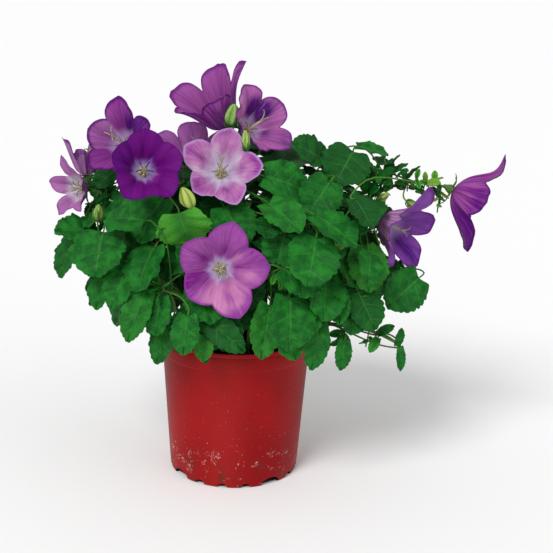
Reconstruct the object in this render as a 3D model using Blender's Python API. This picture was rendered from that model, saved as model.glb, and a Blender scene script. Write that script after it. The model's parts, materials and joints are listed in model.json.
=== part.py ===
"""Potted bellflower: a red nursery pot with its soil, leafy stems and open bell-shaped blooms.

Sizes and places are in millimetres and the meshes are made in metres, +Z up.
The origin is the centre of the pot's underside, and -Y is the plant's front.
"""
import math
import random
from collections import namedtuple

import bmesh
import bpy
from mathutils import Matrix, Vector
from mathutils.bvhtree import BVHTree

MM = 0.001
UP = Vector((0.0, 0.0, 1.0))
GOLDEN_ANGLE = math.pi * (3.0 - math.sqrt(5.0))

# Pot
POT_HEIGHT = 100.0
POT_RIM_RADIUS = 52.5
POT_FOOT_RADIUS = 44.6
POT_WALL = 1.2
POT_FLOOR = 1.6
FOOT_EDGE = 1.5
BAND_HEIGHT = 14.0
BAND_STEP = 0.8
POT_SIDES = 36
NOTCH_QUARTERS = 4
NOTCH_MIDDLE_ANGLE = 35.0
LARGE_NOTCH = (15.0, 5.0)
SMALL_NOTCH = (7.0, 3.2)
SMALL_NOTCH_OFFSETS = (24.0, 45.0, 66.0)
NOTCH_SIDES = 4
NOTCH_CUT_DEPTH = 4.0

# Soil
GAP = 0.3
SOIL_BELOW_RIM = 9.0
SOIL_BUMP = 1.2
SOIL_FOOT_ROUND = (4.0, 6.0)
HOLE_DEPTH = 14.0
HOLE_CLEARANCE = 0.75
SOIL_SIDES = 16

# Stems
STEM_SIDES = 4
STEM_FOOT_RADIUS = 1.8
STEM_TIP_RADIUS = 1.15
STEM_STEPS = 5
STEM_COLLAR = 3.0
STEM_RISE = 0.42
STEM_REACH_BACK = 0.30
STEM_TRIES = 60
STEM_LEAN = (4.0, 0.5)
STALK_RADIUS = 0.75
STALK_ROOT_RADIUS = 0.5
STALK_ANGLES = (math.radians(30.0), math.radians(150.0), math.radians(270.0))
STALK_STEPS = 2
STALK_NECK = 0.2
STALK_DROP = 0.05
STALK_BOW = (0.4, 0.12, 0.28)
STALK_REACH = (6.0, 75.0)
BEST_STALK = 20.0
BACKWARD_COST = 25.0
ROOT_SHARES = (0.0, 0.32, 0.64, 0.96)
ROOT_SPACING = 2.5
STALK_CHOICES = 10

# Leaves
LARGE_LEAF_TEETH = 5
SMALL_LEAF_TEETH = 4
BLADE_THICKNESS = 1.2
MIDRIB_SHARES = {5: (0.13, 0.42, 0.72), 4: (0.15, 0.56)}
TOOTH_OUT = 0.16
TOOTH_FORWARD = 0.04
BASE_LOBE = 0.17
BASE_LOBE_AT = 0.17
BASE_LOBE_SPREAD = 0.09
HALF_WIDTH = 0.53
WIDEST_SHIFT = 0.92
TIP_STRETCH = 0.06
LEAF_FOLD = 0.22
LEAF_ARCH = 0.20
LEAF_WAVE = 0.045
LEAF_TRIES = 36
FRONT_STEADINESS = 2.5
JITTER_SHIFT = 8.0
JITTER_TURN = 0.8
JITTER_TILT = 0.5
JITTER_SHRINK = 0.25
SPARE_ROOM = 0.8
POT_CLEARANCE = 2.0
CLEAR_BEFORE_BLOOM = (10.0, 34.0)
CLEAR_BESIDE_AXIS = 0.62
CLEAR_BESIDE_FRONT_AXIS = 1.02
FRONT_FACING = -0.75

# Bush outline that the leaves fill, as a rounded body round a centre
BUSH_CENTRE = Vector((4.0, 4.0, 160.0))
BUSH_RADII = Vector((108.0, 90.0, 66.0))
OUTER_LEAVES = 88
INNER_LEAVES = 20
INNER_SHELL = 0.7
LEAF_LENGTHS = (25.0, 35.0)
LEAF_WIDTH_SHARES = (0.7, 0.9)
BUSH_LOWEST = -0.74
SHELL_REACH = (0.9, 1.0)
FACE_OUT = 0.8
FACE_UP = 0.55
FACE_SCATTER = 0.3
AHEAD_OUT = 0.5
AHEAD_SCATTER = 0.7
BLADE_MIDDLE = 0.45

# Blooms
LOBES = 5
LOBE_ANGLE = 2.0 * math.pi / LOBES
COROLLA_THICKNESS = 0.9
THROAT_RADIUS = 3.2
BASE_SLOPE = 78.0
BOWL_SHARE = 0.3
LIP_SHARE = 0.4
LOBE_POWER = 1.5
EVEN_LOBES = (1.0, 1.0, 1.0, 1.0, 1.0)
COROLLA_ROWS = (0.34, 0.68, 1.0)
COLUMNS_PER_LOBE = 4
CURVE_STEPS = 12
MOUTH_SHARE = 0.95
CROWN_EDGE = 0.4
CROWN_OUTER = 1.25
CROWN_INNER = 0.55
CALYX_LENGTH = 7.0
CALYX_RADIUS = 3.3
SEPAL_REACH = 12.0
SEPAL_RISE = -0.6
STAMEN_FOOT_RADIUS = 1.9
STAMEN_FOOT_HEIGHT = 1.6
STAMEN_TIP = (4.6, 8.0)
PISTIL_LENGTH = 15.0
STYLE_RADII = (0.75, 0.6)
STIGMA_REACH = (3.4, 3.0)
STIGMA_TURN = 0.4
BUD_SIDES = 6
BUD_SHAPE = ((0.0, 0.35), (0.3, 0.95), (0.65, 0.8), (1.0, 0.0))
BUD_STALK_STEPS = 3
BUD_STALK_SUNK = 2.0

BLOOM_FIELDS = "base facing roll reach cut waist lips foot bowl power spans"
Bloom = namedtuple("Bloom", BLOOM_FIELDS, defaults=(BOWL_SHARE, LOBE_POWER, EVEN_LOBES))

# Each bloom: foot of its bell, the way it faces, the turn of its first lobe, the length of a petal,
# the joined share of that length, the slopes of the waist and of the five lips from the axis,
# the place of its stem in the soil, the share of a petal that rounds the foot of the bell,
# how blunt the lobes are, and the length of each free lobe against the others.
BLOOMS = [
    Bloom(
        (-11, -58, 160), (0.05, -0.97, 0.20), -14, 31.5, 0.72, 52, (84, 88, 84, 86, 88), (-4, -24),
        power=1.3, spans=(1.0, 0.7, 0.5, 1.1, 0.95),
    ),
    Bloom(
        (-12, -30, 216), (0.02, -0.87, 0.48), -13, 27, 0.68, 48, (84, 82, 88, 80, 86), (-10, -8),
        power=1.4, spans=(1.1, 1.1, 0.6, 0.9, 1.0),
    ),
    Bloom(
        (-61, -50, 220), (0.26, -0.80, 0.54), -4, 25.5, 0.84, 43, (70, 70, 78, 76, 70), (-26, -12),
        power=1.4, spans=(1.0, 0.7, 1.7, 1.2, 0.9),
    ),
    Bloom(
        (-75, 0, 227), (-0.45, -0.80, 0.40), 6, 31, 0.66, 42, (72, 62, 52, 58, 68), (-20, 4),
        power=1.6, spans=(1.05, 0.5, 0.75, 1.0, 1.1),
    ),
    Bloom(
        (-10, 5, 241), (-0.46, -0.26, 0.84), 40, 42, 0.66, 26, (62, 54, 52, 46, 50), (-2, 6),
        power=2.0, spans=(1.0, 1.0, 0.7, 0.6, 1.3),
    ),
    Bloom(
        (3, -8, 240), (0.65, -0.58, 0.49), 2, 29.5, 0.72, 38, (84, 64, 60, 60, 52), (10, 4),
        power=2.0, spans=(1.0, 0.6, 0.4, 1.1, 1.0),
    ),
    Bloom(
        (-30, 16, 212), (0.05, -0.25, 0.96), 0, 31, 0.64, 40, (66, 74, 70, 66, 72), (-12, 20),
        power=1.9,
    ),
    Bloom(
        (-104, 0, 198), (-0.70, -0.68, 0.08), 14, 22, 0.46, 38, (62, 70, 62, 66, 60), (-34, 2),
        power=1.3, spans=(1.2, 1.0, 1.0, 0.9, 0.8),
    ),
    Bloom(
        (-104, 22, 203), (-0.07, -0.10, 0.99), 0, 29, 0.50, 16, (22, 20, 18, 18, 20), (-30, 14),
        power=1.6, spans=(0.8, 0.2, 1.05, 0.4, 0.6),
    ),
    Bloom(
        (96, -12, 182), (0.75, -0.59, -0.24), -3, 36, 0.60, 30, (68, 96, 75, 60, 58), (26, -8),
        power=1.7, spans=(1.5, 0.6, 0.7, 1.1, 0.9),
    ),
    Bloom(
        (145.5, 4, 200.5), (0.89, -0.16, -0.42), -2, 38, 0.62, 38, (92, 36, 56, 84, 44), (36, 8),
        bowl=0.55, power=1.7, spans=(1.2, 0.5, 1.2, 0.9, 0.3),
    ),
]

Shoot = namedtuple("Shoot", "tip heading foot")

# Leafy stems without a bloom: the place of the tip, the way it points, and its place in the soil.
SHOOTS = [
    Shoot((-64, 58, 196), (-0.6, 0.5, 0.5), (-22, 24)),
    Shoot((-18, 78, 188), (-0.2, 0.8, 0.3), (-6, 32)),
    Shoot((24, 62, 212), (0.2, 0.5, 0.7), (6, 18)),
    Shoot((66, 52, 202), (0.6, 0.5, 0.4), (24, 16)),
    Shoot((98, 36, 166), (0.8, 0.4, 0.1), (34, 20)),
    Shoot((52, 84, 148), (0.5, 0.8, -0.1), (16, 32)),
    Shoot((-58, 74, 146), (-0.6, 0.7, -0.1), (-16, 38)),
    Shoot((-92, 30, 156), (-0.9, 0.3, 0.1), (-36, 16)),
    Shoot((-88, -26, 158), (-0.8, -0.4, 0.1), (-36, -12)),
    Shoot((-46, -62, 146), (-0.4, -0.8, 0.1), (-20, -28)),
    Shoot((22, -64, 160), (0.3, -0.8, 0.4), (8, -32)),
    Shoot((52, -50, 172), (0.5, -0.7, 0.3), (22, -26)),
    Shoot((72, -44, 134), (0.8, -0.5, -0.3), (34, -22)),
    Shoot((106, -14, 148), (0.9, -0.2, 0.0), (38, -4)),
    Shoot((50, -4, 212), (0.4, -0.2, 0.8), (16, -12)),
    Shoot((-40, -20, 192), (-0.4, -0.5, 0.6), (-12, -20)),
    Shoot((108, -42, 106), (0.8, -0.2, -0.5), (30, -34)),
]

Leaf = namedtuple("Leaf", "base tip width facing teeth", defaults=(LARGE_LEAF_TEETH,))

# Leaves that stand out at the front: foot and tip of the blade, its width, and the way its face turns.
FRONT_LEAVES = [
    Leaf((-37.6, -58, 196), (-31, -50, 174.6), 31, (-0.1, -0.95, 0.2)),
    Leaf((-9, -40, 196), (4, -54, 174), 26, (0.1, -0.8, 0.5)),
    Leaf((-87, -42, 178), (-90, -60, 154), 33, (-0.3, -0.75, 0.6)),
    Leaf((-95, -16, 172), (-120, -27, 174), 22, (-0.1, -0.5, 0.85)),
    Leaf((-108, -8, 168), (-118, -20, 141), 17, (-0.6, -0.7, 0.4)),
    Leaf((-88, -40, 152), (-91, -48, 128), 13, (-0.3, -0.9, 0.3), SMALL_LEAF_TEETH),
    Leaf((-70, -50, 158), (-80, -62, 134), 20, (-0.4, -0.8, 0.4)),
    Leaf((-58, -60, 146), (-69, -72, 115), 17, (-0.3, -0.9, 0.3)),
    Leaf((-50, -45, 200), (-62, -58, 174), 24, (-0.3, -0.8, 0.5)),
    Leaf((-47, -56, 150), (-50, -72, 121), 23, (-0.2, -0.9, 0.4)),
    Leaf((-31, -76, 134), (-33, -87, 112), 16, (-0.1, -0.95, 0.3), SMALL_LEAF_TEETH),
    Leaf((-20, -70, 119), (-21, -77, 104), 11, (0.0, -0.95, 0.3), SMALL_LEAF_TEETH),
    Leaf((-21, -64, 131), (5, -77, 111), 16, (-0.1, -0.9, 0.4), SMALL_LEAF_TEETH),
    Leaf((21, -64, 138), (16, -80, 108), 18, (0.1, -0.95, 0.3)),
    Leaf((29, -68, 126), (34, -78, 105), 17, (0.2, -0.9, 0.3)),
    Leaf((53, -60, 127), (46, -73, 100), 15, (0.3, -0.9, 0.3), SMALL_LEAF_TEETH),
    Leaf((27, -70, 164), (53, -70, 150), 22, (0.1, -0.8, 0.6)),
    Leaf((30, -58, 184), (24, -66, 165), 23, (0.1, -0.85, 0.5)),
    Leaf((50, -44, 184), (66, -54, 166), 22, (0.3, -0.7, 0.6)),
    Leaf((83, -36, 171), (86, -49, 142), 27, (0.4, -0.8, 0.4)),
    Leaf((122, -19, 145), (100, -33, 129), 25, (0.4, -0.7, 0.5)),
    Leaf((79, -44, 142), (74, -56, 117), 21, (0.4, -0.8, 0.3)),
    Leaf((62, -54, 150), (66, -66, 127), 15, (0.3, -0.9, 0.3), SMALL_LEAF_TEETH),
    Leaf((56, -4, 221), (34, -15, 234), 20, (-0.1, -0.7, 0.7)),
    Leaf((75, 0, 226), (59, -16, 208), 30, (0.1, -0.7, 0.7)),
    Leaf((78, 15, 226), (99, 10, 218), 14, (0.2, -0.3, 0.9), SMALL_LEAF_TEETH),
    Leaf((16, -34, 216), (45, -26, 204), 25, (0.2, -0.75, 0.6)),
    Leaf((60, -28, 212), (45, -40, 191), 26, (0.2, -0.8, 0.6)),
    Leaf((-42, -60, 126), (-51, -66, 98), 15, (-0.4, -0.9, 0.2), SMALL_LEAF_TEETH),
    Leaf((94, -42, 113), (104, -46, 120), 6, (0.0, -0.8, 0.6), SMALL_LEAF_TEETH),
    Leaf((95, -42, 111), (89, -48, 103), 6, (0.0, -0.8, 0.6), SMALL_LEAF_TEETH),
    Leaf((108, -43, 107), (111, -46, 120), 6, (0.3, -0.9, 0.2), SMALL_LEAF_TEETH),
    Leaf((109, -43, 104), (109, -50, 90), 6, (0.3, -0.9, 0.2), SMALL_LEAF_TEETH),
    Leaf((71, -54, 112), (68, -64, 95), 10, (0.2, -0.9, 0.3), SMALL_LEAF_TEETH),
]

Bud = namedtuple("Bud", "base tip radius")

# Buds: foot and tip of the bud, and its radius.
BUDS = [
    Bud((-5.4, -20.0, 244.9), (-4.4, -22.0, 260.2), 3.9),
    Bud((4, -34, 233), (3, -36, 246), 2.4),
    Bud((-29, -56, 199), (-36, -60, 213), 4.6),
    Bud((-92, -28, 182), (-91, -31, 194), 3.2),
    Bud((92, -6, 194), (100, -10, 201), 3.0),
    Bud((112, -10, 196), (122, -14, 190), 3.0),
]

# Small helpers


def unit(vector):
    return Vector(vector).normalized()


def across(vector, normal):
    """The part of a vector that lies square to a normal, made one long."""
    normal = Vector(normal)
    return (Vector(vector) - normal * Vector(vector).dot(normal)).normalized()


def smooth_step(value):
    value = min(max(value, 0.0), 1.0)
    return value * value * (3.0 - 2.0 * value)


def bezier(p0, p1, p2, p3, t):
    s = 1.0 - t
    return p0 * s**3 + p1 * 3.0 * s * s * t + p2 * 3.0 * s * t * t + p3 * t**3


def bezier_path(p0, p1, p2, p3, steps):
    return [bezier(p0, p1, p2, p3, i / steps) for i in range(steps + 1)]


def tube(path, radii, sides):
    """Closed tube along a path. A last radius of zero ends it in a point."""
    verts = []
    faces = []
    side = None
    pointed = radii[-1] == 0.0
    rings = len(path) - 1 if pointed else len(path)
    for i, point in enumerate(path[:rings]):
        before = path[max(i - 1, 0)]
        after = path[min(i + 1, len(path) - 1)]
        tangent = unit(after - before)
        if side is None:
            side = across((0.31, 0.87, 0.22), tangent)
        side = across(side, tangent)
        other = tangent.cross(side)
        for k in range(sides):
            turn = 2.0 * math.pi * k / sides
            verts.append(point + (side * math.cos(turn) + other * math.sin(turn)) * radii[i])
    for i in range(rings - 1):
        for k in range(sides):
            k2 = (k + 1) % sides
            faces.append((i * sides + k, i * sides + k2, (i + 1) * sides + k2, (i + 1) * sides + k))
    faces.append(tuple(reversed(range(sides))))
    last = (rings - 1) * sides
    if pointed:
        verts.append(path[-1].copy())
        for k in range(sides):
            faces.append((last + k, last + (k + 1) % sides, len(verts) - 1))
    else:
        faces.append(tuple(range(last, last + sides)))
    return verts, faces


def thicken(verts, faces, thickness):
    """Closed solid from an open sheet, with half the thickness on each side of it."""
    sheet = bmesh.new()
    for vert in verts:
        sheet.verts.new(vert)
    sheet.verts.ensure_lookup_table()
    sheet.verts.index_update()
    for face in faces:
        sheet.faces.new([sheet.verts[i] for i in face])
    sheet.normal_update()
    half = 0.5 * thickness
    count = len(verts)
    solid_verts = [v.co + v.normal * half for v in sheet.verts]
    solid_verts += [v.co - v.normal * half for v in sheet.verts]
    solid_faces = [tuple(face) for face in faces]
    solid_faces += [tuple(i + count for i in reversed(face)) for face in faces]
    for edge in sheet.edges:
        if edge.is_boundary:
            loop = edge.link_loops[0]
            a = loop.vert.index
            b = loop.link_loop_next.vert.index
            solid_faces.append((b, a, a + count, b + count))
    sheet.free()
    return solid_verts, solid_faces


def triangles(faces):
    """Fans of triangles in place of the faces."""
    return [(face[0], face[i], face[i + 1]) for face in faces for i in range(1, len(face) - 1)]


def tree_of(solid):
    return BVHTree.FromPolygons(solid[0], triangles(solid[1]))


def crosses_itself(solid):
    """Whether two triangles without a common corner meet."""
    corners = triangles(solid[1])
    tree = tree_of(solid)
    return any(not set(corners[a]) & set(corners[b]) for a, b in tree.overlap(tree))


# Shapes of the plant, as (points, faces) in millimetres


def leaf_outline(teeth):
    """One side of the blade from the notch at its stalk to the tip, as shares of its length and width."""
    steps = 2 * teeth + 1
    points = []
    for i in range(steps + 1):
        s = i / steps
        along = 0.5 * (1.0 - TIP_STRETCH) * (1.0 - math.cos(math.pi * s)) + TIP_STRETCH * s**6
        along -= BASE_LOBE * math.exp(-(((s - BASE_LOBE_AT) / BASE_LOBE_SPREAD) ** 2))
        out = HALF_WIDTH * max(0.0, math.sin(math.pi * s**WIDEST_SHIFT))
        if i % 2 == 1 and i < steps:
            along += TOOTH_FORWARD
            out *= 1.0 + TOOTH_OUT
        points.append((along, out))
    return points


def leaf_axes(leaf):
    """Directions along the blade, across it to the right, and out of its face."""
    ahead = unit(Vector(leaf.tip) - Vector(leaf.base))
    face = across(leaf.facing, ahead)
    return ahead, ahead.cross(face), face


def blade_point(leaf, along, out, lift):
    """Point of the folded, arched blade, from shares of its length and width and a lift off its face."""
    ahead, side, face = leaf_axes(leaf)
    length = (Vector(leaf.tip) - Vector(leaf.base)).length
    height = LEAF_ARCH * length * (along - along * along) + LEAF_FOLD * abs(out) * leaf.width
    return Vector(leaf.base) + ahead * along * length + side * out * leaf.width + face * (height + lift)


def stalk_path(start, leaf):
    """From a stem to the blade's foot, straight past its base lobes."""
    ahead, _, face = leaf_axes(leaf)
    length = (Vector(leaf.tip) - Vector(leaf.base)).length
    neck = Vector(leaf.base) - ahead * STALK_NECK * length - face * STALK_DROP * length
    gap = (neck - start).length
    share, lift, back = STALK_BOW
    middle = start + (neck - start) * share + UP * gap * lift
    return bezier_path(start, middle, neck - ahead * gap * back, neck, STALK_STEPS) + [Vector(leaf.base)]


def leaf_solid(leaf, start=None, spare=0.0):
    """Toothed blade, thickest at its midrib and thin at its edge, grown out of the end of its stalk."""
    ahead, side = leaf_axes(leaf)[:2]
    path = stalk_path(start, leaf) if start else [Vector(leaf.base) - ahead, Vector(leaf.base)]
    verts = []
    faces = [(0, 1, 2)]
    rings = []
    for i in range(len(path) - 1, -1, -1):
        before = path[max(i - 1, 0)]
        after = path[min(i + 1, len(path) - 1)]
        tangent = unit(after - before) if i < len(path) - 1 else ahead
        side = across(side, tangent)
        over = side.cross(tangent)
        radius = (STALK_ROOT_RADIUS if i == 0 else STALK_RADIUS) + spare
        rings.append([path[i] + (side * math.cos(t) + over * math.sin(t)) * radius for t in STALK_ANGLES])
    for ring in reversed(rings):
        verts.extend(ring)
    for i in range(len(rings) - 1):
        for k in range(3):
            k2 = (k + 1) % 3
            faces.append((3 * i + k, 3 * i + 3 + k, 3 * i + 3 + k2, 3 * i + k2))
    right, left, under = range(len(verts) - 3, len(verts))

    outline = leaf_outline(leaf.teeth)
    last = len(outline) - 1
    tip = len(verts)
    verts.append(blade_point(leaf, 1.0, 0.0, 0.0))
    edges = {}
    for hand, first in ((1, right), (-1, left)):
        edges[hand] = [first]
        for i in range(1, last):
            along, out = outline[i]
            wave = LEAF_WAVE * leaf.width * math.sin(2.4 * i + hand)
            edges[hand].append(len(verts))
            verts.append(blade_point(leaf, along, hand * out * (1.0 + spare / leaf.width), wave))
        edges[hand].append(tip)
    shares = MIDRIB_SHARES[leaf.teeth]
    ribs = {}
    for top in (1, -1):
        ribs[top] = list(range(len(verts), len(verts) + len(shares)))
        lift = top * (0.5 * BLADE_THICKNESS + spare)
        verts.extend(blade_point(leaf, share, 0.0, lift) for share in shares)

    for hand in (1, -1):
        rib = 0
        sector = []
        for i in range(1, last + 1):
            sector.append((i, rib, None))
            while rib < len(shares) - 1 and outline[i][0] > 0.5 * (shares[rib] + shares[rib + 1]):
                sector.append((i, rib + 1, rib))
                rib += 1
        for top in (1, -1):
            for i, near, far in sector:
                if far is None:
                    corner = (edges[hand][i - 1], edges[hand][i], ribs[top][near])
                else:
                    corner = (edges[hand][i], ribs[top][near], ribs[top][far])
                faces.append(corner if hand * top > 0 else corner[::-1])
    faces.append((right, ribs[1][0], left))
    faces.append((right, under, ribs[-1][0]))
    faces.append((under, left, ribs[-1][0]))
    return verts, faces


def bloom_axes(bloom):
    """The bloom's axis and the two directions across it, the first one towards its first lobe."""
    axis = unit(bloom.facing)
    roll = Matrix.Rotation(math.radians(bloom.roll), 3, axis)
    first = roll @ across(UP, axis)
    return axis, first, axis.cross(first)


def bloom_point(bloom, height, angle, radius):
    """Point this high up a bloom's axis from the foot of its bell, and this far out from the axis."""
    axis, first, second = bloom_axes(bloom)
    return Vector(bloom.base) + axis * height + (first * math.cos(angle) + second * math.sin(angle)) * radius


def lobe_offset(angle):
    """Nearest lobe's number, and how far this angle is from its middle: 0 there, 1 between two lobes."""
    turns = angle / LOBE_ANGLE
    lobe = math.floor(turns + 0.5)
    return lobe, 2.0 * (turns - lobe)


def lip_slope(bloom, angle):
    """Slope of the petal's end, blended between neighbouring lobes."""
    lobe, offset = lobe_offset(angle)
    neighbour = lobe + (1 if offset > 0.0 else -1)
    mix = 0.5 * offset * offset
    return bloom.lips[lobe % LOBES] * (1.0 - mix) + bloom.lips[neighbour % LOBES] * mix


def petal_curve(bloom, lip, length):
    """Radius and height of the bell after this length up a petal, and the slope there."""
    radius = THROAT_RADIUS
    height = 0.0
    step = length / CURVE_STEPS
    lip_start = max(LIP_SHARE, bloom.bowl)
    slope = math.radians(BASE_SLOPE)
    for i in range(CURVE_STEPS):
        share = (i + 0.5) * step / bloom.reach
        base_part = max(0.0, 1.0 - share / bloom.bowl) ** 2
        lip_part = smooth_step((share - lip_start) / (1.0 - lip_start))
        degrees = bloom.waist + (BASE_SLOPE - bloom.waist) * base_part + (lip - bloom.waist) * lip_part
        slope = math.radians(degrees)
        radius += step * math.sin(slope)
        height += step * math.cos(slope)
    return radius, height, slope


def petal_length(bloom, angle):
    lobe, offset = lobe_offset(angle)
    free = (1.0 - bloom.cut) * bloom.spans[lobe % LOBES]
    return bloom.reach * (bloom.cut + free * (1.0 - abs(offset) ** bloom.power))


def corolla_point(bloom, angle, share, outward=0.0):
    """Point of the bell, this share of the way up the petal at this angle, set off its outside."""
    length = petal_length(bloom, angle) * share
    radius, height, slope = petal_curve(bloom, lip_slope(bloom, angle), length)
    radius += outward * math.cos(slope)
    height -= outward * math.sin(slope)
    return bloom_point(bloom, height, angle, radius)


def corolla(bloom):
    """Bell of five joined petals with free lobes."""
    columns = LOBES * COLUMNS_PER_LOBE
    verts = [Vector(bloom.base)]
    shares = (0.0,) + COROLLA_ROWS
    for share in shares:
        for k in range(columns):
            verts.append(corolla_point(bloom, 2.0 * math.pi * k / columns, share))
    faces = []
    for k in range(columns):
        k2 = (k + 1) % columns
        faces.append((0, 1 + k, 1 + k2))
        for row in range(len(shares) - 1):
            low = 1 + row * columns
            high = low + columns
            faces.append((low + k, high + k, high + k2, low + k2))
    faces = triangles(faces)
    return thicken(verts, faces, COROLLA_THICKNESS)


def mouth(bloom):
    """Flat cover of a bloom's mouth, which leaves keep out of."""
    verts = [corolla_point(bloom, LOBE_ANGLE * k, MOUTH_SHARE) for k in range(LOBES)]
    return verts, [tuple(range(LOBES))]


def crown(bloom, low, low_radius, rim, rim_radius, tips):
    """Cup with five spikes round its rim. The tips' height and radius come last."""
    verts = []
    faces = [tuple(reversed(range(LOBES)))]
    for k in range(LOBES):
        verts.append(bloom_point(bloom, low, LOBE_ANGLE * (k + 0.5), low_radius))
    for k in range(LOBES):
        spike = LOBE_ANGLE * (k + 0.5)
        verts.append(bloom_point(bloom, rim, LOBE_ANGLE * k, rim_radius))
        verts.append(bloom_point(bloom, rim - CROWN_EDGE, spike, rim_radius * CROWN_OUTER))
        verts.append(bloom_point(bloom, rim, spike, rim_radius * CROWN_INNER))
        verts.append(bloom_point(bloom, tips[0], spike, tips[1]))
    floor = []
    for k in range(LOBES):
        k2 = (k + 1) % LOBES
        valley, outer, inner, tip = range(LOBES + 4 * k, LOBES + 4 * k + 4)
        next_valley = LOBES + 4 * k2
        faces += [(k, outer, valley), (k, next_valley, outer), (k, k2, next_valley)]
        faces += [(valley, outer, tip), (outer, next_valley, tip)]
        faces += [(next_valley, inner, tip), (inner, valley, tip)]
        floor += [valley, inner]
    faces.append(tuple(floor))
    return verts, faces


def pistil_parts(bloom):
    """Five stamens on a small foot, and a style that ends in a three-pointed stigma."""
    low = 0.5 * COROLLA_THICKNESS + GAP
    tips = (low + STAMEN_TIP[1], STAMEN_TIP[0])
    parts = [crown(bloom, low, STAMEN_FOOT_RADIUS, low + STAMEN_FOOT_HEIGHT, STAMEN_FOOT_RADIUS, tips)]
    stages = (
        (low + 0.4 * STAMEN_FOOT_HEIGHT, STYLE_RADII[0]),
        (PISTIL_LENGTH, STYLE_RADII[1]),
        (PISTIL_LENGTH + STIGMA_REACH[1], STIGMA_REACH[0]),
    )
    verts = []
    for height, radius in stages:
        for k in range(3):
            verts.append(bloom_point(bloom, height, 2.0 * math.pi * k / 3.0 + STIGMA_TURN, radius))
    verts.append(bloom_point(bloom, PISTIL_LENGTH + 1.0, 0.0, 0.0))
    faces = [(2, 1, 0)]
    for low_ring in (0, 3):
        for k in range(3):
            k2 = (k + 1) % 3
            faces.append((low_ring + k, low_ring + k2, low_ring + 3 + k2, low_ring + 3 + k))
    faces += [(6, 7, 9), (7, 8, 9), (8, 6, 9)]
    parts.append((verts, faces))
    return parts


def calyx(bloom):
    """Ovary under the bell with five sepals that spread behind it."""
    rim = -(0.5 * COROLLA_THICKNESS + GAP)
    tips = (rim + SEPAL_RISE, SEPAL_REACH)
    return crown(bloom, rim - CALYX_LENGTH, STEM_TIP_RADIUS, rim, CALYX_RADIUS, tips)


def bud_solid(bud):
    """Closed bud, widest near its foot."""
    base = Vector(bud.base)
    reach = Vector(bud.tip) - base
    path = [base + reach * share for share, width in BUD_SHAPE]
    return tube(path, [bud.radius * width for share, width in BUD_SHAPE], BUD_SIDES)


def bud_stalk(start, bud, spare=0.0):
    base = Vector(bud.base)
    ahead = unit(Vector(bud.tip) - base)
    gap = (base - start).length
    share, _, back = STALK_BOW
    middle = start + (base - start) * share
    path = bezier_path(start, middle, base - ahead * gap * back, base, BUD_STALK_STEPS)
    path.append(base + ahead * BUD_STALK_SUNK)
    radii = [STALK_ROOT_RADIUS + spare] + [STALK_RADIUS + spare] * (len(path) - 1)
    return tube(path, radii, len(STALK_ANGLES))


# Where everything grows


def stem_path(foot, tip, heading, lean):
    """From the bottom of the stem's hole straight up out of the soil, then over to the tip."""
    low = POT_HEIGHT - SOIL_BELOW_RIM
    start = Vector((foot[0], foot[1], low - HOLE_DEPTH + GAP))
    collar = Vector((foot[0], foot[1], low + STEM_COLLAR))
    span = (Vector(tip) - collar).length
    rise = collar + UP * span * STEM_RISE + lean
    back = Vector(tip) - unit(heading) * span * STEM_REACH_BACK + lean * 0.5
    return [start] + bezier_path(collar, rise, back, Vector(tip), STEM_STEPS)


def stem_radii(path):
    last = len(path) - 1
    return [STEM_FOOT_RADIUS + (STEM_TIP_RADIUS - STEM_FOOT_RADIUS) * i / last for i in range(last + 1)]


class Plant:
    """What has been placed so far. Each node has its parts, and a search tree for each of them."""

    def __init__(self):
        self.nodes = {}
        self.trees = []
        self.covers = []
        self.paths = {}
        self.roots = []

    def add(self, node, solid, role):
        self.nodes.setdefault(node, []).append(solid)
        self.trees.append((node, role, tree_of(solid)))

    def blocked(self, solid, own_node=None, own_roles=()):
        """Whether a solid touches anything placed, apart from these roles of its own node."""
        tree = tree_of(solid)
        for node, role, other in self.trees:
            if node == own_node and role in own_roles:
                continue
            if tree.overlap(other):
                return True
        return False

    def hides_bloom(self, solid):
        """Whether a leaf stands in or right before a bloom's face."""
        tree = tree_of(solid)
        if any(tree.overlap(cover) for cover in self.covers):
            return True
        near, far = CLEAR_BEFORE_BLOOM
        for bloom in BLOOMS:
            axis = unit(bloom.facing)
            share = CLEAR_BESIDE_FRONT_AXIS if axis.y < FRONT_FACING else CLEAR_BESIDE_AXIS
            for vert in solid[0]:
                offset = vert - Vector(bloom.base)
                ahead = offset.dot(axis)
                aside = (offset - axis * ahead).length
                if near < ahead < far and aside < share * bloom.reach:
                    return True
        return False


def grow_blooms(plant):
    for number, bloom in enumerate(BLOOMS, 1):
        plant.add(f"bloom_{number:02d}_corolla", corolla(bloom), "corolla")
        for part in pistil_parts(bloom):
            plant.add(f"bloom_{number:02d}_heart", part, "heart")
        plant.covers.append(tree_of(mouth(bloom)))


def grow_stem(plant, node, tip, heading, foot):
    """A stem that leans aside until it is clear of what has been placed."""
    draw = random.Random(node)
    lean = Vector()
    for attempt in range(STEM_TRIES):
        path = stem_path(foot, tip, heading, lean)
        wide = tube(path, [radius + SPARE_ROOM for radius in stem_radii(path)], STEM_SIDES)
        if not plant.blocked(wide, node, ("calyx",)):
            break
        spread = STEM_LEAN[0] + STEM_LEAN[1] * attempt
        lean = scatter(draw, spread)
    plant.add(node, tube(path, stem_radii(path), STEM_SIDES), "stem")
    plant.paths[node] = path


def grow_stems(plant):
    for number, bloom in enumerate(BLOOMS, 1):
        node = f"stem_{number:02d}"
        plant.add(node, calyx(bloom), "calyx")
    for number, bloom in enumerate(BLOOMS, 1):
        axis = unit(bloom.facing)
        tip = Vector(bloom.base) - axis * (CALYX_LENGTH - 1.5)
        grow_stem(plant, f"stem_{number:02d}", tip, axis, bloom.foot)
    for number, shoot in enumerate(SHOOTS, len(BLOOMS) + 1):
        grow_stem(plant, f"stem_{number:02d}", shoot.tip, shoot.heading, shoot.foot)


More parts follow.
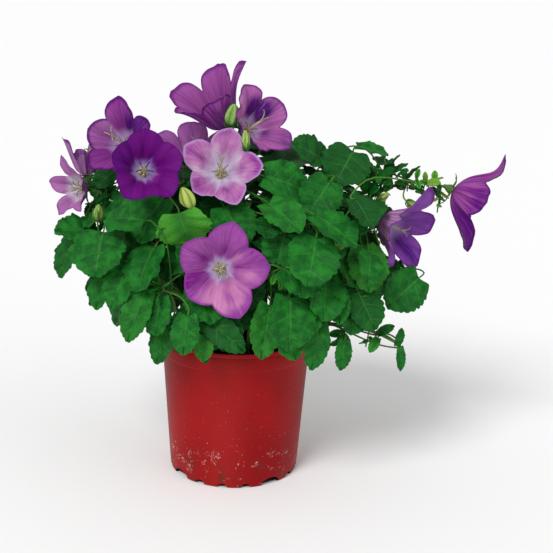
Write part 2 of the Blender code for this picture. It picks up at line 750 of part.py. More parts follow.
def roots_for(plant, base, ahead):
    """Points in the stems that a stalk could grow from, the likeliest first."""
    found = []
    for node, path in plant.paths.items():
        for i in range(2, len(path) - 1):
            for share in ROOT_SHARES:
                point = path[i].lerp(path[i + 1], share)
                gap = base - point
                taken = any((point - root).length < ROOT_SPACING for root in plant.roots)
                if taken or not STALK_REACH[0] < gap.length < STALK_REACH[1]:
                    continue
                backwards = max(0.0, -gap.normalized().dot(ahead))
                found.append((abs(gap.length - BEST_STALK) + BACKWARD_COST * backwards, node, point))
    found.sort(key=lambda root: root[0])
    return found


def outside_pot(solid):
    """Whether every point low enough to meet the pot is well outside its wall."""
    for vert in solid[0]:
        aside = math.hypot(vert.x, vert.y)
        if vert.z < POT_HEIGHT + POT_CLEARANCE and aside < POT_RIM_RADIUS + POT_CLEARANCE:
            return False
    return True


def jittered(leaf, draw, amount):
    """The leaf moved, turned and shrunk a little."""
    base = Vector(leaf.base)
    reach = Vector(leaf.tip) - base
    shift = scatter(draw, JITTER_SHIFT * amount)
    turn = Matrix.Rotation(draw.uniform(-JITTER_TURN, JITTER_TURN) * amount, 3, unit(leaf.facing))
    across_blade = unit(Vector(leaf.facing).cross(reach))
    tilt = Matrix.Rotation(draw.uniform(-JITTER_TILT, JITTER_TILT) * amount, 3, across_blade)
    size = 1.0 - JITTER_SHRINK * amount * draw.random()
    reach = (turn @ (tilt @ reach)) * size
    base += shift
    return Leaf(base, base + reach, leaf.width * size, tilt @ Vector(leaf.facing), leaf.teeth)


def grow_leaf(plant, leaf, draw, steadiness):
    """Place one leaf on the nearest stem, moving it aside until it is clear, or leave it out."""
    for attempt in range(LEAF_TRIES):
        amount = attempt / LEAF_TRIES / steadiness
        moved = jittered(leaf, draw, amount) if attempt else leaf
        wide = leaf_solid(moved, spare=SPARE_ROOM)
        if not outside_pot(wide) or plant.blocked(wide) or plant.hides_bloom(wide):
            continue
        ahead = unit(Vector(moved.tip) - Vector(moved.base))
        for _, node, start in roots_for(plant, Vector(moved.base), ahead)[:STALK_CHOICES]:
            path = stalk_path(start, moved)
            stalk = tube(path, [STALK_RADIUS + 0.5 * SPARE_ROOM] * len(path), len(STALK_ANGLES))
            if plant.blocked(stalk, node, ("stem",)) or plant.hides_bloom(stalk):
                continue
            solid = leaf_solid(moved, start)
            if crosses_itself(solid):
                continue
            plant.add(node, solid, "leaf")
            plant.roots.append(start)
            return


def grow_bud(plant, bud):
    """Place one bud at the end of a stalk of its own, on the nearest stem with a clear way to it."""
    ahead = unit(Vector(bud.tip) - Vector(bud.base))
    for _, node, start in roots_for(plant, Vector(bud.base), ahead):
        if not plant.blocked(bud_stalk(start, bud, 0.5 * SPARE_ROOM), node, ("stem",)):
            plant.add(node, bud_stalk(start, bud), "stalk")
            plant.add(node, bud_solid(bud), "bud")
            plant.roots.append(start)
            return


def scatter(draw, reach):
    return Vector([draw.uniform(-reach, reach) for axis in range(3)])


def bush_leaf(index, count, shell, draw):
    """Leaf number index of a spiral over the bush's outline, its face turned out and up."""
    height = 1.0 - (1.0 - BUSH_LOWEST) * (index + 0.5) / count
    turn = index * GOLDEN_ANGLE + shell
    ring = math.sqrt(1.0 - height * height)
    direction = Vector((ring * math.cos(turn), ring * math.sin(turn), height))
    reach = shell * draw.uniform(*SHELL_REACH)
    middle = BUSH_CENTRE + Vector([d * r * reach for d, r in zip(direction, BUSH_RADII)])
    outward = unit([d / r for d, r in zip(direction, BUSH_RADII)])
    facing = unit(outward * FACE_OUT + UP * FACE_UP + scatter(draw, FACE_SCATTER))
    ahead = across(outward * AHEAD_OUT - UP + scatter(draw, AHEAD_SCATTER), facing)
    length = draw.uniform(*LEAF_LENGTHS)
    base = middle - ahead * BLADE_MIDDLE * length
    width = length * draw.uniform(*LEAF_WIDTH_SHARES)
    return Leaf(base, base + ahead * length, width, facing, SMALL_LEAF_TEETH)


def grow_leaves(plant):
    """The leaves that stand out first, then the rest of the bush from outside in."""
    for number, leaf in enumerate(FRONT_LEAVES):
        grow_leaf(plant, leaf, random.Random(number), FRONT_STEADINESS)
    for shell, count, seed in ((1.0, OUTER_LEAVES, 1000), (INNER_SHELL, INNER_LEAVES, 2000)):
        for index in range(count):
            draw = random.Random(seed + index)
            grow_leaf(plant, bush_leaf(index, count, shell, draw), draw, 1.0)


def grow_plant():
    """The whole plant in its pot, every node clear of every other."""
    plant = Plant()
    plant.trees.append(("pot", "pot", tree_of(turned_solid(pot_profile(), POT_SIDES))))
    grow_blooms(plant)
    grow_stems(plant)
    for bud in BUDS:
        grow_bud(plant, bud)
    grow_leaves(plant)
    return plant


# Blender objects


def clear_scene():
    for item in list(bpy.data.objects):
        bpy.data.objects.remove(item, do_unlink=True)


def material(name, color, roughness):
    made = bpy.data.materials.new(name)
    made.use_nodes = True
    shader = made.node_tree.nodes["Principled BSDF"]
    shader.inputs["Base Color"].default_value = (*color, 1.0)
    shader.inputs["Roughness"].default_value = roughness
    shader.inputs["Metallic"].default_value = 0.0
    made.diffuse_color = (*color, 1.0)
    return made


def mesh_object(name, solid, collection=None):
    mesh = bpy.data.meshes.new(name)
    mesh.from_pydata([Vector(v) * MM for v in solid[0]], [], solid[1])
    item = bpy.data.objects.new(name, mesh)
    (collection or bpy.context.scene.collection).objects.link(item)
    return item


def boolean_with_parts(item, parts, operation):
    """One Boolean of an object with several solids, applied, and the solids removed."""
    cutters = bpy.data.collections.new(item.name + "_parts")
    bpy.context.scene.collection.children.link(cutters)
    for part in parts:
        cutter = mesh_object(item.name + "_part", part, cutters)
        cutter.hide_render = True
        cutter.display_type = "WIRE"
    change = item.modifiers.new("join", "BOOLEAN")
    change.operation = operation
    change.operand_type = "COLLECTION"
    change.collection = cutters
    for solver in ("EXACT", "MANIFOLD"):
        change.solver = solver
        bpy.context.view_layer.update()
        evaluated = item.evaluated_get(bpy.context.evaluated_depsgraph_get())
        joined = bpy.data.meshes.new_from_object(evaluated)
        if keep_largest_shell(joined):
            break
    item.modifiers.clear()
    item.data = joined
    for cutter in list(cutters.objects):
        bpy.data.objects.remove(cutter, do_unlink=True)
    bpy.data.collections.remove(cutters)


def keep_largest_shell(mesh):
    """Drop the scraps and sealed hollows that joining can leave. Says if the rest is a closed surface."""
    shape = bmesh.new()
    shape.from_mesh(mesh)
    bmesh.ops.triangulate(shape, faces=shape.faces)
    unseen = set(shape.faces)
    shells = []
    while unseen:
        seed = unseen.pop()
        shell = [seed]
        border = [seed]
        while border:
            face = border.pop()
            for edge in face.edges:
                for other in edge.link_faces:
                    if other in unseen:
                        unseen.remove(other)
                        shell.append(other)
                        border.append(other)
        shells.append(shell)
    shells.sort(key=len)
    scraps = [face for shell in shells[:-1] for face in shell]
    bmesh.ops.delete(shape, geom=scraps, context="FACES")
    closed = all(len(edge.link_faces) == 2 for edge in shape.edges)
    shape.to_mesh(mesh)
    shape.free()
    return closed


def finish(item, surface, smooth_angle=None):
    item.data.materials.clear()
    item.data.materials.append(surface)
    if smooth_angle is not None:
        item.data.shade_smooth()
        item.data.set_sharp_from_angle(angle=math.radians(smooth_angle))


def turned_solid(profile, sides):
    """Solid turned round the Z axis. The profile starts and ends on the axis, going from bottom to top."""
    verts = [Vector((0.0, 0.0, profile[0][1])), Vector((0.0, 0.0, profile[-1][1]))]
    rings = []
    for radius, height in profile[1:-1]:
        rings.append(len(verts))
        for k in range(sides):
            turn = 2.0 * math.pi * k / sides
            verts.append(Vector((radius * math.cos(turn), radius * math.sin(turn), height)))
    faces = []
    for k in range(sides):
        k2 = (k + 1) % sides
        faces.append((0, rings[0] + k2, rings[0] + k))
        for low, high in zip(rings, rings[1:]):
            faces.append((low + k, low + k2, high + k2, high + k))
        faces.append((1, rings[-1] + k, rings[-1] + k2))
    return verts, faces


def wall_radius(height):
    """Outer radius of the tapered wall under its band."""
    top = POT_RIM_RADIUS - BAND_STEP
    return POT_FOOT_RADIUS + (top - POT_FOOT_RADIUS) * height / POT_HEIGHT


def pot_profile():
    band = POT_HEIGHT - BAND_HEIGHT
    outside = [
        (0.0, 0.0),
        (POT_FOOT_RADIUS - FOOT_EDGE, 0.0),
        (POT_FOOT_RADIUS, FOOT_EDGE),
        (wall_radius(band), band),
        (wall_radius(band) + BAND_STEP, band + BAND_STEP),
        (POT_RIM_RADIUS, POT_HEIGHT),
    ]
    inside = [
        (POT_RIM_RADIUS - POT_WALL, POT_HEIGHT),
        (wall_radius(band) + BAND_STEP - POT_WALL, band + BAND_STEP),
        (wall_radius(band) - POT_WALL, band),
        (POT_FOOT_RADIUS - POT_WALL, POT_FLOOR),
        (0.0, POT_FLOOR),
    ]
    return outside + inside


def notch_cutters():
    """Half-round cutters through the foot, in a pattern that repeats in each quarter."""
    cutters = []
    for quarter in range(NOTCH_QUARTERS):
        middle = NOTCH_MIDDLE_ANGLE - 90.0 + 90.0 * quarter
        places = [(middle, LARGE_NOTCH)]
        places += [(middle + offset, SMALL_NOTCH) for offset in SMALL_NOTCH_OFFSETS]
        for degrees, (width, height) in places:
            turn = math.radians(degrees)
            out = Vector((math.cos(turn), math.sin(turn), 0.0))
            side = Vector((-out.y, out.x, 0.0))
            verts = []
            for depth in (POT_FOOT_RADIUS - NOTCH_CUT_DEPTH, POT_FOOT_RADIUS + NOTCH_CUT_DEPTH):
                for k in range(NOTCH_SIDES + 1):
                    arc = math.pi * k / NOTCH_SIDES
                    aside = side * 0.5 * width * math.cos(arc)
                    verts.append(out * depth + aside + UP * height * math.sin(arc))
                verts.append(out * depth - side * 0.5 * width - UP)
                verts.append(out * depth + side * 0.5 * width - UP)
            ring = NOTCH_SIDES + 3
            faces = [tuple(range(ring - 1, -1, -1)), tuple(range(ring, 2 * ring))]
            for k in range(ring):
                k2 = (k + 1) % ring
                faces.append((k, k2, ring + k2, ring + k))
            cutters.append((verts, faces))
    return cutters


def make_pot(surface):
    pot = mesh_object("pot", turned_solid(pot_profile(), POT_SIDES))
    boolean_with_parts(pot, notch_cutters(), "DIFFERENCE")
    finish(pot, surface, 30.0)


def soil_profile():
    top = POT_HEIGHT - SOIL_BELOW_RIM
    floor = POT_FLOOR + GAP
    clear = POT_WALL + 1.5 * GAP
    rim = wall_radius(top) + BAND_STEP - clear
    band = POT_HEIGHT - BAND_HEIGHT
    return [
        (0.0, floor),
        (POT_FOOT_RADIUS - clear - SOIL_FOOT_ROUND[0], floor),
        (POT_FOOT_RADIUS - clear - 0.5, floor + SOIL_FOOT_ROUND[1]),
        (wall_radius(band) - clear, band - 1.0),
        (rim - BAND_STEP, top),
        (0.6 * rim, top + SOIL_BUMP),
        (0.0, top + 0.4 * SOIL_BUMP),
    ]


def hole_cutters():
    top = POT_HEIGHT - SOIL_BELOW_RIM
    radius = STEM_FOOT_RADIUS + HOLE_CLEARANCE
    cutters = []
    for foot in [bloom.foot for bloom in BLOOMS] + [shoot.foot for shoot in SHOOTS]:
        low = Vector((foot[0], foot[1], top - HOLE_DEPTH))
        high = Vector((foot[0], foot[1], top + 3.0 * SOIL_BUMP))
        cutters.append(tube([low, high], [radius, radius], STEM_SIDES))
    return cutters


def make_soil(surface):
    soil = mesh_object("soil", turned_solid(soil_profile(), SOIL_SIDES))
    boolean_with_parts(soil, hole_cutters(), "DIFFERENCE")
    finish(soil, surface)


def make_plant(plant, surfaces):
    for node, parts in plant.nodes.items():
        item = mesh_object(node, parts[0])
        if len(parts) > 1:
            boolean_with_parts(item, parts[1:], "UNION")
        kind = node.split("_")[-1] if node.startswith("bloom") else "stem"
        finish(item, surfaces[kind])


def build():
    clear_scene()
    surfaces = {
        "pot": material("red_plastic", (0.36, 0.012, 0.016), 0.42),
        "soil": material("soil", (0.02, 0.015, 0.012), 0.95),
        "stem": material("foliage", (0.03, 0.16, 0.02), 0.55),
        "corolla": material("petal", (0.26, 0.05, 0.42), 0.6),
        "heart": material("pistil", (0.75, 0.72, 0.5), 0.6),
    }
    make_pot(surfaces["pot"])
    make_soil(surfaces["soil"])
    make_plant(grow_plant(), surfaces)


if __name__ == "__main__":
    build()
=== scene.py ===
"""Potted bellflower as it looks in the photo: fine leaves, blooms, buds, pot and soil in place of the solids.

Sizes and places are in millimetres, slopes in degrees and turns in radians unless a comment says
otherwise, and the meshes are made in metres. A share has no unit. The same draws as in the solids place
every leaf, so each fine leaf lies where its plain one does.
"""

import json
import math
import random
from collections import namedtuple

import bmesh
import bpy
from mathutils import Matrix, Vector
from mathutils.bvhtree import BVHTree

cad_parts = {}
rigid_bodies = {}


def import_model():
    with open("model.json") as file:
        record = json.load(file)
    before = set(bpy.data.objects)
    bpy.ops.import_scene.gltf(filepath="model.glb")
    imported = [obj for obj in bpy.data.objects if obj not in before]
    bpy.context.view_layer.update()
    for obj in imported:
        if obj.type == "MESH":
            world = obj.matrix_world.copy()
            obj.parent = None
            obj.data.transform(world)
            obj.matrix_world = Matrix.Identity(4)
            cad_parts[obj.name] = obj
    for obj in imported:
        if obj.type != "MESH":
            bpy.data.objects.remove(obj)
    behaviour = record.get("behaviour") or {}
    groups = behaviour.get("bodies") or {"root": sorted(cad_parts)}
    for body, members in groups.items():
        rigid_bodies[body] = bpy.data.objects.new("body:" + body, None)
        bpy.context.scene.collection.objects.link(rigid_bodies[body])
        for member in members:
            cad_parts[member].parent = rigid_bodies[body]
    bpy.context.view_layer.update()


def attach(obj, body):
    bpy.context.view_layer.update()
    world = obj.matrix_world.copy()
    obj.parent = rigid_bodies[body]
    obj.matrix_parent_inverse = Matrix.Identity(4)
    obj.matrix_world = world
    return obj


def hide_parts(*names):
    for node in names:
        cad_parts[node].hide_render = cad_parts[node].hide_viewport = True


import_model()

MM = 0.001
UP = Vector((0.0, 0.0, 1.0))
GOLDEN_ANGLE = math.pi * (3.0 - math.sqrt(5.0))
FULL_TURN = 2.0 * math.pi
FIRST_SIDE = (0.31, 0.87, 0.22)

# Pot
POT_HEIGHT = 100.0
POT_RIM_RADIUS = 52.5
POT_FOOT_RADIUS = 44.6
POT_WALL = 1.2
POT_FLOOR = 1.6
FOOT_EDGE = 1.5
BAND_HEIGHT = 14.0
BAND_STEP = 0.8
POT_SIDES = 36
NOTCH_QUARTERS = 4
NOTCH_MIDDLE_ANGLE = 35.0
LARGE_NOTCH = (15.0, 5.0)
SMALL_NOTCH = (7.0, 3.2)
SMALL_NOTCH_OFFSETS = (24.0, 45.0, 66.0)
NOTCH_CUT_DEPTH = 4.0

# Soil
GAP = 0.3
SOIL_BELOW_RIM = 9.0
SOIL_BUMP = 1.2
SOIL_CREST_AT = 0.6
SOIL_MIDDLE_BUMP = 0.4
SOIL_FOOT_ROUND = (4.0, 6.0)
SOIL_SIDE_GAP = 1.5 * GAP
HOLE_DEPTH = 14.0

# Stems
STEM_SIDES = 4
STEM_FOOT_RADIUS = 1.8
STEM_TIP_RADIUS = 1.15
STEM_STEPS = 5
STEM_COLLAR = 3.0
STEM_RISE = 0.42
STEM_REACH_BACK = 0.30
STEM_TRIES = 60
STEM_LEAN = (4.0, 0.5)
STALK_RADIUS = 0.75
STALK_ROOT_RADIUS = 0.5
STALK_ANGLES = (math.radians(30.0), math.radians(150.0), math.radians(270.0))
STALK_STEPS = 2
STALK_NECK = 0.2
STALK_DROP = 0.05
STALK_BOW = (0.4, 0.12, 0.28)
STALK_REACH = (6.0, 75.0)
BEST_STALK = 20.0
BACKWARD_COST = 25.0
ROOT_SHARES = (0.0, 0.32, 0.64, 0.96)
ROOT_SPACING = 2.5
STALK_CHOICES = 10

# Leaves
LARGE_LEAF_TEETH = 5
SMALL_LEAF_TEETH = 4
BLADE_THICKNESS = 1.2
MIDRIB_SHARES = {5: (0.13, 0.42, 0.72), 4: (0.15, 0.56)}
TOOTH_OUT = 0.16
TOOTH_FORWARD = 0.04
BASE_LOBE = 0.17
BASE_LOBE_AT = 0.17
BASE_LOBE_SPREAD = 0.09
HALF_WIDTH = 0.53
WIDEST_SHIFT = 0.92
TIP_STRETCH = 0.06
TIP_POWER = 6
LEAF_FOLD = 0.22
LEAF_ARCH = 0.20
LEAF_WAVE = 0.045
WAVE_TURN = 2.4
LEAF_TRIES = 36
FRONT_STEADINESS = 2.5
JITTER_SHIFT = 8.0
JITTER_TURN = 0.8
JITTER_TILT = 0.5
JITTER_SHRINK = 0.25
SPARE_ROOM = 0.8
POT_CLEARANCE = 2.0
CLEAR_BEFORE_BLOOM = (10.0, 34.0)
CLEAR_BESIDE_AXIS = 0.62
CLEAR_BESIDE_FRONT_AXIS = 1.02
FRONT_FACING = -0.75

# Bush outline that the leaves fill, as a rounded body round a centre
BUSH_CENTRE = Vector((4.0, 4.0, 160.0))
BUSH_RADII = Vector((108.0, 90.0, 66.0))
OUTER_LEAVES = 88
INNER_LEAVES = 20
INNER_SHELL = 0.7
LEAF_LENGTHS = (25.0, 35.0)
LEAF_WIDTH_SHARES = (0.7, 0.9)
BUSH_LOWEST = -0.74
SHELL_REACH = (0.9, 1.0)
FACE_OUT = 0.8
FACE_UP = 0.55
FACE_SCATTER = 0.3
AHEAD_OUT = 0.5
AHEAD_SCATTER = 0.7
BLADE_MIDDLE = 0.45

# Blooms
LOBES = 5
LOBE_ANGLE = FULL_TURN / LOBES
COROLLA_THICKNESS = 0.9
THROAT_RADIUS = 3.2
BASE_SLOPE = 78.0
BOWL_SHARE = 0.3
LIP_SHARE = 0.4
LOBE_POWER = 1.5
EVEN_LOBES = (1.0, 1.0, 1.0, 1.0, 1.0)
COROLLA_ROWS = (0.34, 0.68, 1.0)
COLUMNS_PER_LOBE = 4
CURVE_STEPS = 12
MOUTH_SHARE = 0.95
CROWN_EDGE = 0.4
CROWN_OUTER = 1.25
CROWN_INNER = 0.55
CALYX_LENGTH = 7.0
STEM_IN_CALYX = 1.5
CALYX_RADIUS = 3.3
SEPAL_REACH = 12.0
SEPAL_RISE = -0.6
STAMEN_FOOT_RADIUS = 1.9
STAMEN_FOOT_HEIGHT = 1.6
STYLE_SUNK_TO = 0.4
STAMEN_TIP = (4.6, 8.0)
PISTIL_LENGTH = 15.0
STYLE_RADII = (0.75, 0.6)
STIGMA_REACH = (3.4, 3.0)
STIGMA_TURN = 0.4
STIGMA_DOME = 1.0
BUD_SIDES = 6
BUD_SHAPE = ((0.0, 0.35), (0.3, 0.95), (0.65, 0.8), (1.0, 0.0))
BUD_STALK_STEPS = 3
BUD_STALK_SUNK = 2.0

BLOOM_FIELDS = "base facing roll reach cut waist lips foot bowl power spans"
Bloom = namedtuple("Bloom", BLOOM_FIELDS, defaults=(BOWL_SHARE, LOBE_POWER, EVEN_LOBES))

# Each bloom: foot of its bell, the way it faces, the turn of its first lobe, the length of a petal,
# the joined share of that length, the slopes of the waist and of the five lips from the axis,
# the place of its stem in the soil, the share of a petal that rounds the foot of the bell,
# how blunt the lobes are, and the length of each free lobe against the others.
BLOOMS = [
    Bloom(
        (-11, -58, 160), (0.05, -0.97, 0.20), -14, 31.5, 0.72, 52, (84, 88, 84, 86, 88), (-4, -24),
        power=1.3, spans=(1.0, 0.7, 0.5, 1.1, 0.95),
    ),
    Bloom(
        (-12, -30, 216), (0.02, -0.87, 0.48), -13, 27, 0.68, 48, (84, 82, 88, 80, 86), (-10, -8),
        power=1.4, spans=(1.1, 1.1, 0.6, 0.9, 1.0),
    ),
    Bloom(
        (-61, -50, 220), (0.26, -0.80, 0.54), -4, 25.5, 0.84, 43, (70, 70, 78, 76, 70), (-26, -12),
        power=1.4, spans=(1.0, 0.7, 1.7, 1.2, 0.9),
    ),
    Bloom(
        (-75, 0, 227), (-0.45, -0.80, 0.40), 6, 31, 0.66, 42, (72, 62, 52, 58, 68), (-20, 4),
        power=1.6, spans=(1.05, 0.5, 0.75, 1.0, 1.1),
    ),
    Bloom(
        (-10, 5, 241), (-0.46, -0.26, 0.84), 40, 42, 0.66, 26, (62, 54, 52, 46, 50), (-2, 6),
        power=2.0, spans=(1.0, 1.0, 0.7, 0.6, 1.3),
    ),
    Bloom(
        (3, -8, 240), (0.65, -0.58, 0.49), 2, 29.5, 0.72, 38, (84, 64, 60, 60, 52), (10, 4),
        power=2.0, spans=(1.0, 0.6, 0.4, 1.1, 1.0),
    ),
    Bloom(
        (-30, 16, 212), (0.05, -0.25, 0.96), 0, 31, 0.64, 40, (66, 74, 70, 66, 72), (-12, 20),
        power=1.9,
    ),
    Bloom(
        (-104, 0, 198), (-0.70, -0.68, 0.08), 14, 22, 0.46, 38, (62, 70, 62, 66, 60), (-34, 2),
        power=1.3, spans=(1.2, 1.0, 1.0, 0.9, 0.8),
    ),
    Bloom(
        (-104, 22, 203), (-0.07, -0.10, 0.99), 0, 29, 0.50, 16, (22, 20, 18, 18, 20), (-30, 14),
        power=1.6, spans=(0.8, 0.2, 1.05, 0.4, 0.6),
    ),
    Bloom(
        (96, -12, 182), (0.75, -0.59, -0.24), -3, 36, 0.60, 30, (68, 96, 75, 60, 58), (26, -8),
        power=1.7, spans=(1.5, 0.6, 0.7, 1.1, 0.9),
    ),
    Bloom(
        (145.5, 4, 200.5), (0.89, -0.16, -0.42), -2, 38, 0.62, 38, (92, 36, 56, 84, 44), (36, 8),
        bowl=0.55, power=1.7, spans=(1.2, 0.5, 1.2, 0.9, 0.3),
    ),
]

Shoot = namedtuple("Shoot", "tip heading foot")

# Leafy stems without a bloom: the place of the tip, the way it points, and its place in the soil.
SHOOTS = [
    Shoot((-64, 58, 196), (-0.6, 0.5, 0.5), (-22, 24)),
    Shoot((-18, 78, 188), (-0.2, 0.8, 0.3), (-6, 32)),
    Shoot((24, 62, 212), (0.2, 0.5, 0.7), (6, 18)),
    Shoot((66, 52, 202), (0.6, 0.5, 0.4), (24, 16)),
    Shoot((98, 36, 166), (0.8, 0.4, 0.1), (34, 20)),
    Shoot((52, 84, 148), (0.5, 0.8, -0.1), (16, 32)),
    Shoot((-58, 74, 146), (-0.6, 0.7, -0.1), (-16, 38)),
    Shoot((-92, 30, 156), (-0.9, 0.3, 0.1), (-36, 16)),
    Shoot((-88, -26, 158), (-0.8, -0.4, 0.1), (-36, -12)),
    Shoot((-46, -62, 146), (-0.4, -0.8, 0.1), (-20, -28)),
    Shoot((22, -64, 160), (0.3, -0.8, 0.4), (8, -32)),
    Shoot((52, -50, 172), (0.5, -0.7, 0.3), (22, -26)),
    Shoot((72, -44, 134), (0.8, -0.5, -0.3), (34, -22)),
    Shoot((106, -14, 148), (0.9, -0.2, 0.0), (38, -4)),
    Shoot((50, -4, 212), (0.4, -0.2, 0.8), (16, -12)),
    Shoot((-40, -20, 192), (-0.4, -0.5, 0.6), (-12, -20)),
    Shoot((108, -42, 106), (0.8, -0.2, -0.5), (30, -34)),
]

Leaf = namedtuple("Leaf", "base tip width facing teeth", defaults=(LARGE_LEAF_TEETH,))

# Leaves that stand out at the front: foot and tip of the blade, its width, and the way its face turns.
FRONT_LEAVES = [
    Leaf((-37.6, -58, 196), (-31, -50, 174.6), 31, (-0.1, -0.95, 0.2)),
    Leaf((-9, -40, 196), (4, -54, 174), 26, (0.1, -0.8, 0.5)),
    Leaf((-87, -42, 178), (-90, -60, 154), 33, (-0.3, -0.75, 0.6)),
    Leaf((-95, -16, 172), (-120, -27, 174), 22, (-0.1, -0.5, 0.85)),
    Leaf((-108, -8, 168), (-118, -20, 141), 17, (-0.6, -0.7, 0.4)),
    Leaf((-88, -40, 152), (-91, -48, 128), 13, (-0.3, -0.9, 0.3), SMALL_LEAF_TEETH),
    Leaf((-70, -50, 158), (-80, -62, 134), 20, (-0.4, -0.8, 0.4)),
    Leaf((-58, -60, 146), (-69, -72, 115), 17, (-0.3, -0.9, 0.3)),
    Leaf((-50, -45, 200), (-62, -58, 174), 24, (-0.3, -0.8, 0.5)),
    Leaf((-47, -56, 150), (-50, -72, 121), 23, (-0.2, -0.9, 0.4)),
    Leaf((-31, -76, 134), (-33, -87, 112), 16, (-0.1, -0.95, 0.3), SMALL_LEAF_TEETH),
    Leaf((-20, -70, 119), (-21, -77, 104), 11, (0.0, -0.95, 0.3), SMALL_LEAF_TEETH),
    Leaf((-21, -64, 131), (5, -77, 111), 16, (-0.1, -0.9, 0.4), SMALL_LEAF_TEETH),
    Leaf((21, -64, 138), (16, -80, 108), 18, (0.1, -0.95, 0.3)),
    Leaf((29, -68, 126), (34, -78, 105), 17, (0.2, -0.9, 0.3)),
    Leaf((53, -60, 127), (46, -73, 100), 15, (0.3, -0.9, 0.3), SMALL_LEAF_TEETH),
    Leaf((27, -70, 164), (53, -70, 150), 22, (0.1, -0.8, 0.6)),
    Leaf((30, -58, 184), (24, -66, 165), 23, (0.1, -0.85, 0.5)),
    Leaf((50, -44, 184), (66, -54, 166), 22, (0.3, -0.7, 0.6)),
    Leaf((83, -36, 171), (86, -49, 142), 27, (0.4, -0.8, 0.4)),
    Leaf((122, -19, 145), (100, -33, 129), 25, (0.4, -0.7, 0.5)),
    Leaf((79, -44, 142), (74, -56, 117), 21, (0.4, -0.8, 0.3)),
    Leaf((62, -54, 150), (66, -66, 127), 15, (0.3, -0.9, 0.3), SMALL_LEAF_TEETH),
    Leaf((56, -4, 221), (34, -15, 234), 20, (-0.1, -0.7, 0.7)),
    Leaf((75, 0, 226), (59, -16, 208), 30, (0.1, -0.7, 0.7)),
    Leaf((78, 15, 226), (99, 10, 218), 14, (0.2, -0.3, 0.9), SMALL_LEAF_TEETH),
    Leaf((16, -34, 216), (45, -26, 204), 25, (0.2, -0.75, 0.6)),
    Leaf((60, -28, 212), (45, -40, 191), 26, (0.2, -0.8, 0.6)),
    Leaf((-42, -60, 126), (-51, -66, 98), 15, (-0.4, -0.9, 0.2), SMALL_LEAF_TEETH),
    Leaf((94, -42, 113), (104, -46, 120), 6, (0.0, -0.8, 0.6), SMALL_LEAF_TEETH),
    Leaf((95, -42, 111), (89, -48, 103), 6, (0.0, -0.8, 0.6), SMALL_LEAF_TEETH),
    Leaf((108, -43, 107), (111, -46, 120), 6, (0.3, -0.9, 0.2), SMALL_LEAF_TEETH),
    Leaf((109, -43, 104), (109, -50, 90), 6, (0.3, -0.9, 0.2), SMALL_LEAF_TEETH),
    Leaf((71, -54, 112), (68, -64, 95), 10, (0.2, -0.9, 0.3), SMALL_LEAF_TEETH),
]

Bud = namedtuple("Bud", "base tip radius")

# Buds: foot and tip of the bud, and its radius.
BUDS = [
    Bud((-5.4, -20.0, 244.9), (-4.4, -22.0, 260.2), 3.9),
    Bud((4, -34, 233), (3, -36, 246), 2.4),
    Bud((-29, -56, 199), (-36, -60, 213), 4.6),
    Bud((-92, -28, 182), (-91, -31, 194), 3.2),
    Bud((92, -6, 194), (100, -10, 201), 3.0),
    Bud((112, -10, 196), (122, -14, 190), 3.0),
]

# Seeds of the random draws. Most have the number of the leaf, stem or shoot added to them.
OUTER_SEED = 1000
INNER_SEED = 2000
STEM_SEED = 5000
STEM_LEAF_SEED = 6000
SPRIG_SEED = 9100
GAP_LEAF_SEED = 9500
CRUMB_SEED = 77

# Finer pot and soil
FINE_POT_SIDES = 144
FINE_NOTCH_SIDES = 10
NOTCH_FLARE = 1.2
NOTCH_BELOW = 1.0
NOTCH_ROUNDNESS = 0.8
WALL_STEP = 6.0
FOOT_EDGE_STEPS = 4
BAND_CURVE = ((0.0, 0.0), (0.35, 0.3), (0.8, 0.9), (1.3, 1.0))
GROOVE = 0.35
GROOVE_BELOW_RIM = 3.4
GROOVE_CURVE = ((-5.0, 0.0), (-0.6, 0.0), (0.0, GROOVE), (0.6, 0.0))
LIP_STEPS = 6
INSIDE_STEPS = (4.0, 9.0)
INSIDE_FOOT_EDGE = 1.0
INSIDE_TAPER = 0.08
RED_SHARE = 0.62
UNDERSIDE_BELOW = 0.2
FINE_SOIL_SIDES = 96
CRUMBS = 420
CRUMB_RADII = (0.6, 1.9)
CRUMB_SPARE = 2.0
CRUMBS_FROM_WALL = 1.0
CRUMB_ROUGHNESS = 0.22
CRUMB_STRETCH = (0.7, 1.3)
CRUMB_WAVES = (4.0, 5.0)
CRUMB_PHASES = 6.0
CRUMB_SUNK = (-0.3, 0.4)

# Finer leaves
LEAF_FINENESS = 4
SMALL_LEAF_FINENESS = 2
BLADE_STEPS = 4
SMALL_BLADE_STEPS = 2
KIDNEY_SHAPE = 0.7
KIDNEY_SPAN = 0.2
FLAT_RELIEF = 0.2
FIRST_STEP = 0.012
LAST_STEP = 0.985
LARGE_TOOTH_SHARE = 0.28
TOOTH_ROUNDNESS = 0.7
FOLD_ROUND = 0.05
PUCKER = 0.9
RIB_SINK = 0.35
RIB_WIDTH = 0.12
RIB_THICKNESS = 0.6
RIB_THINNING = 0.6
RIB_START = 0.06
VEIN_LEAN = 0.45
BLADE_EDGE_THICKNESS = 0.42
FINE_STALK_RADIUS = 0.55
FINE_STALK_SIDES = 6
STALK_FOOT_SWELL = 0.5
STALK_FOOT_SHARE = 0.1
STALK_END_SHARE = 0.5
STALK_SMOOTH = 4
STALK_SUNK = 1.5
FINE_STEM_SHARE = 0.85
FINE_STEM_SIDES = 9
STEM_SMOOTH = 5

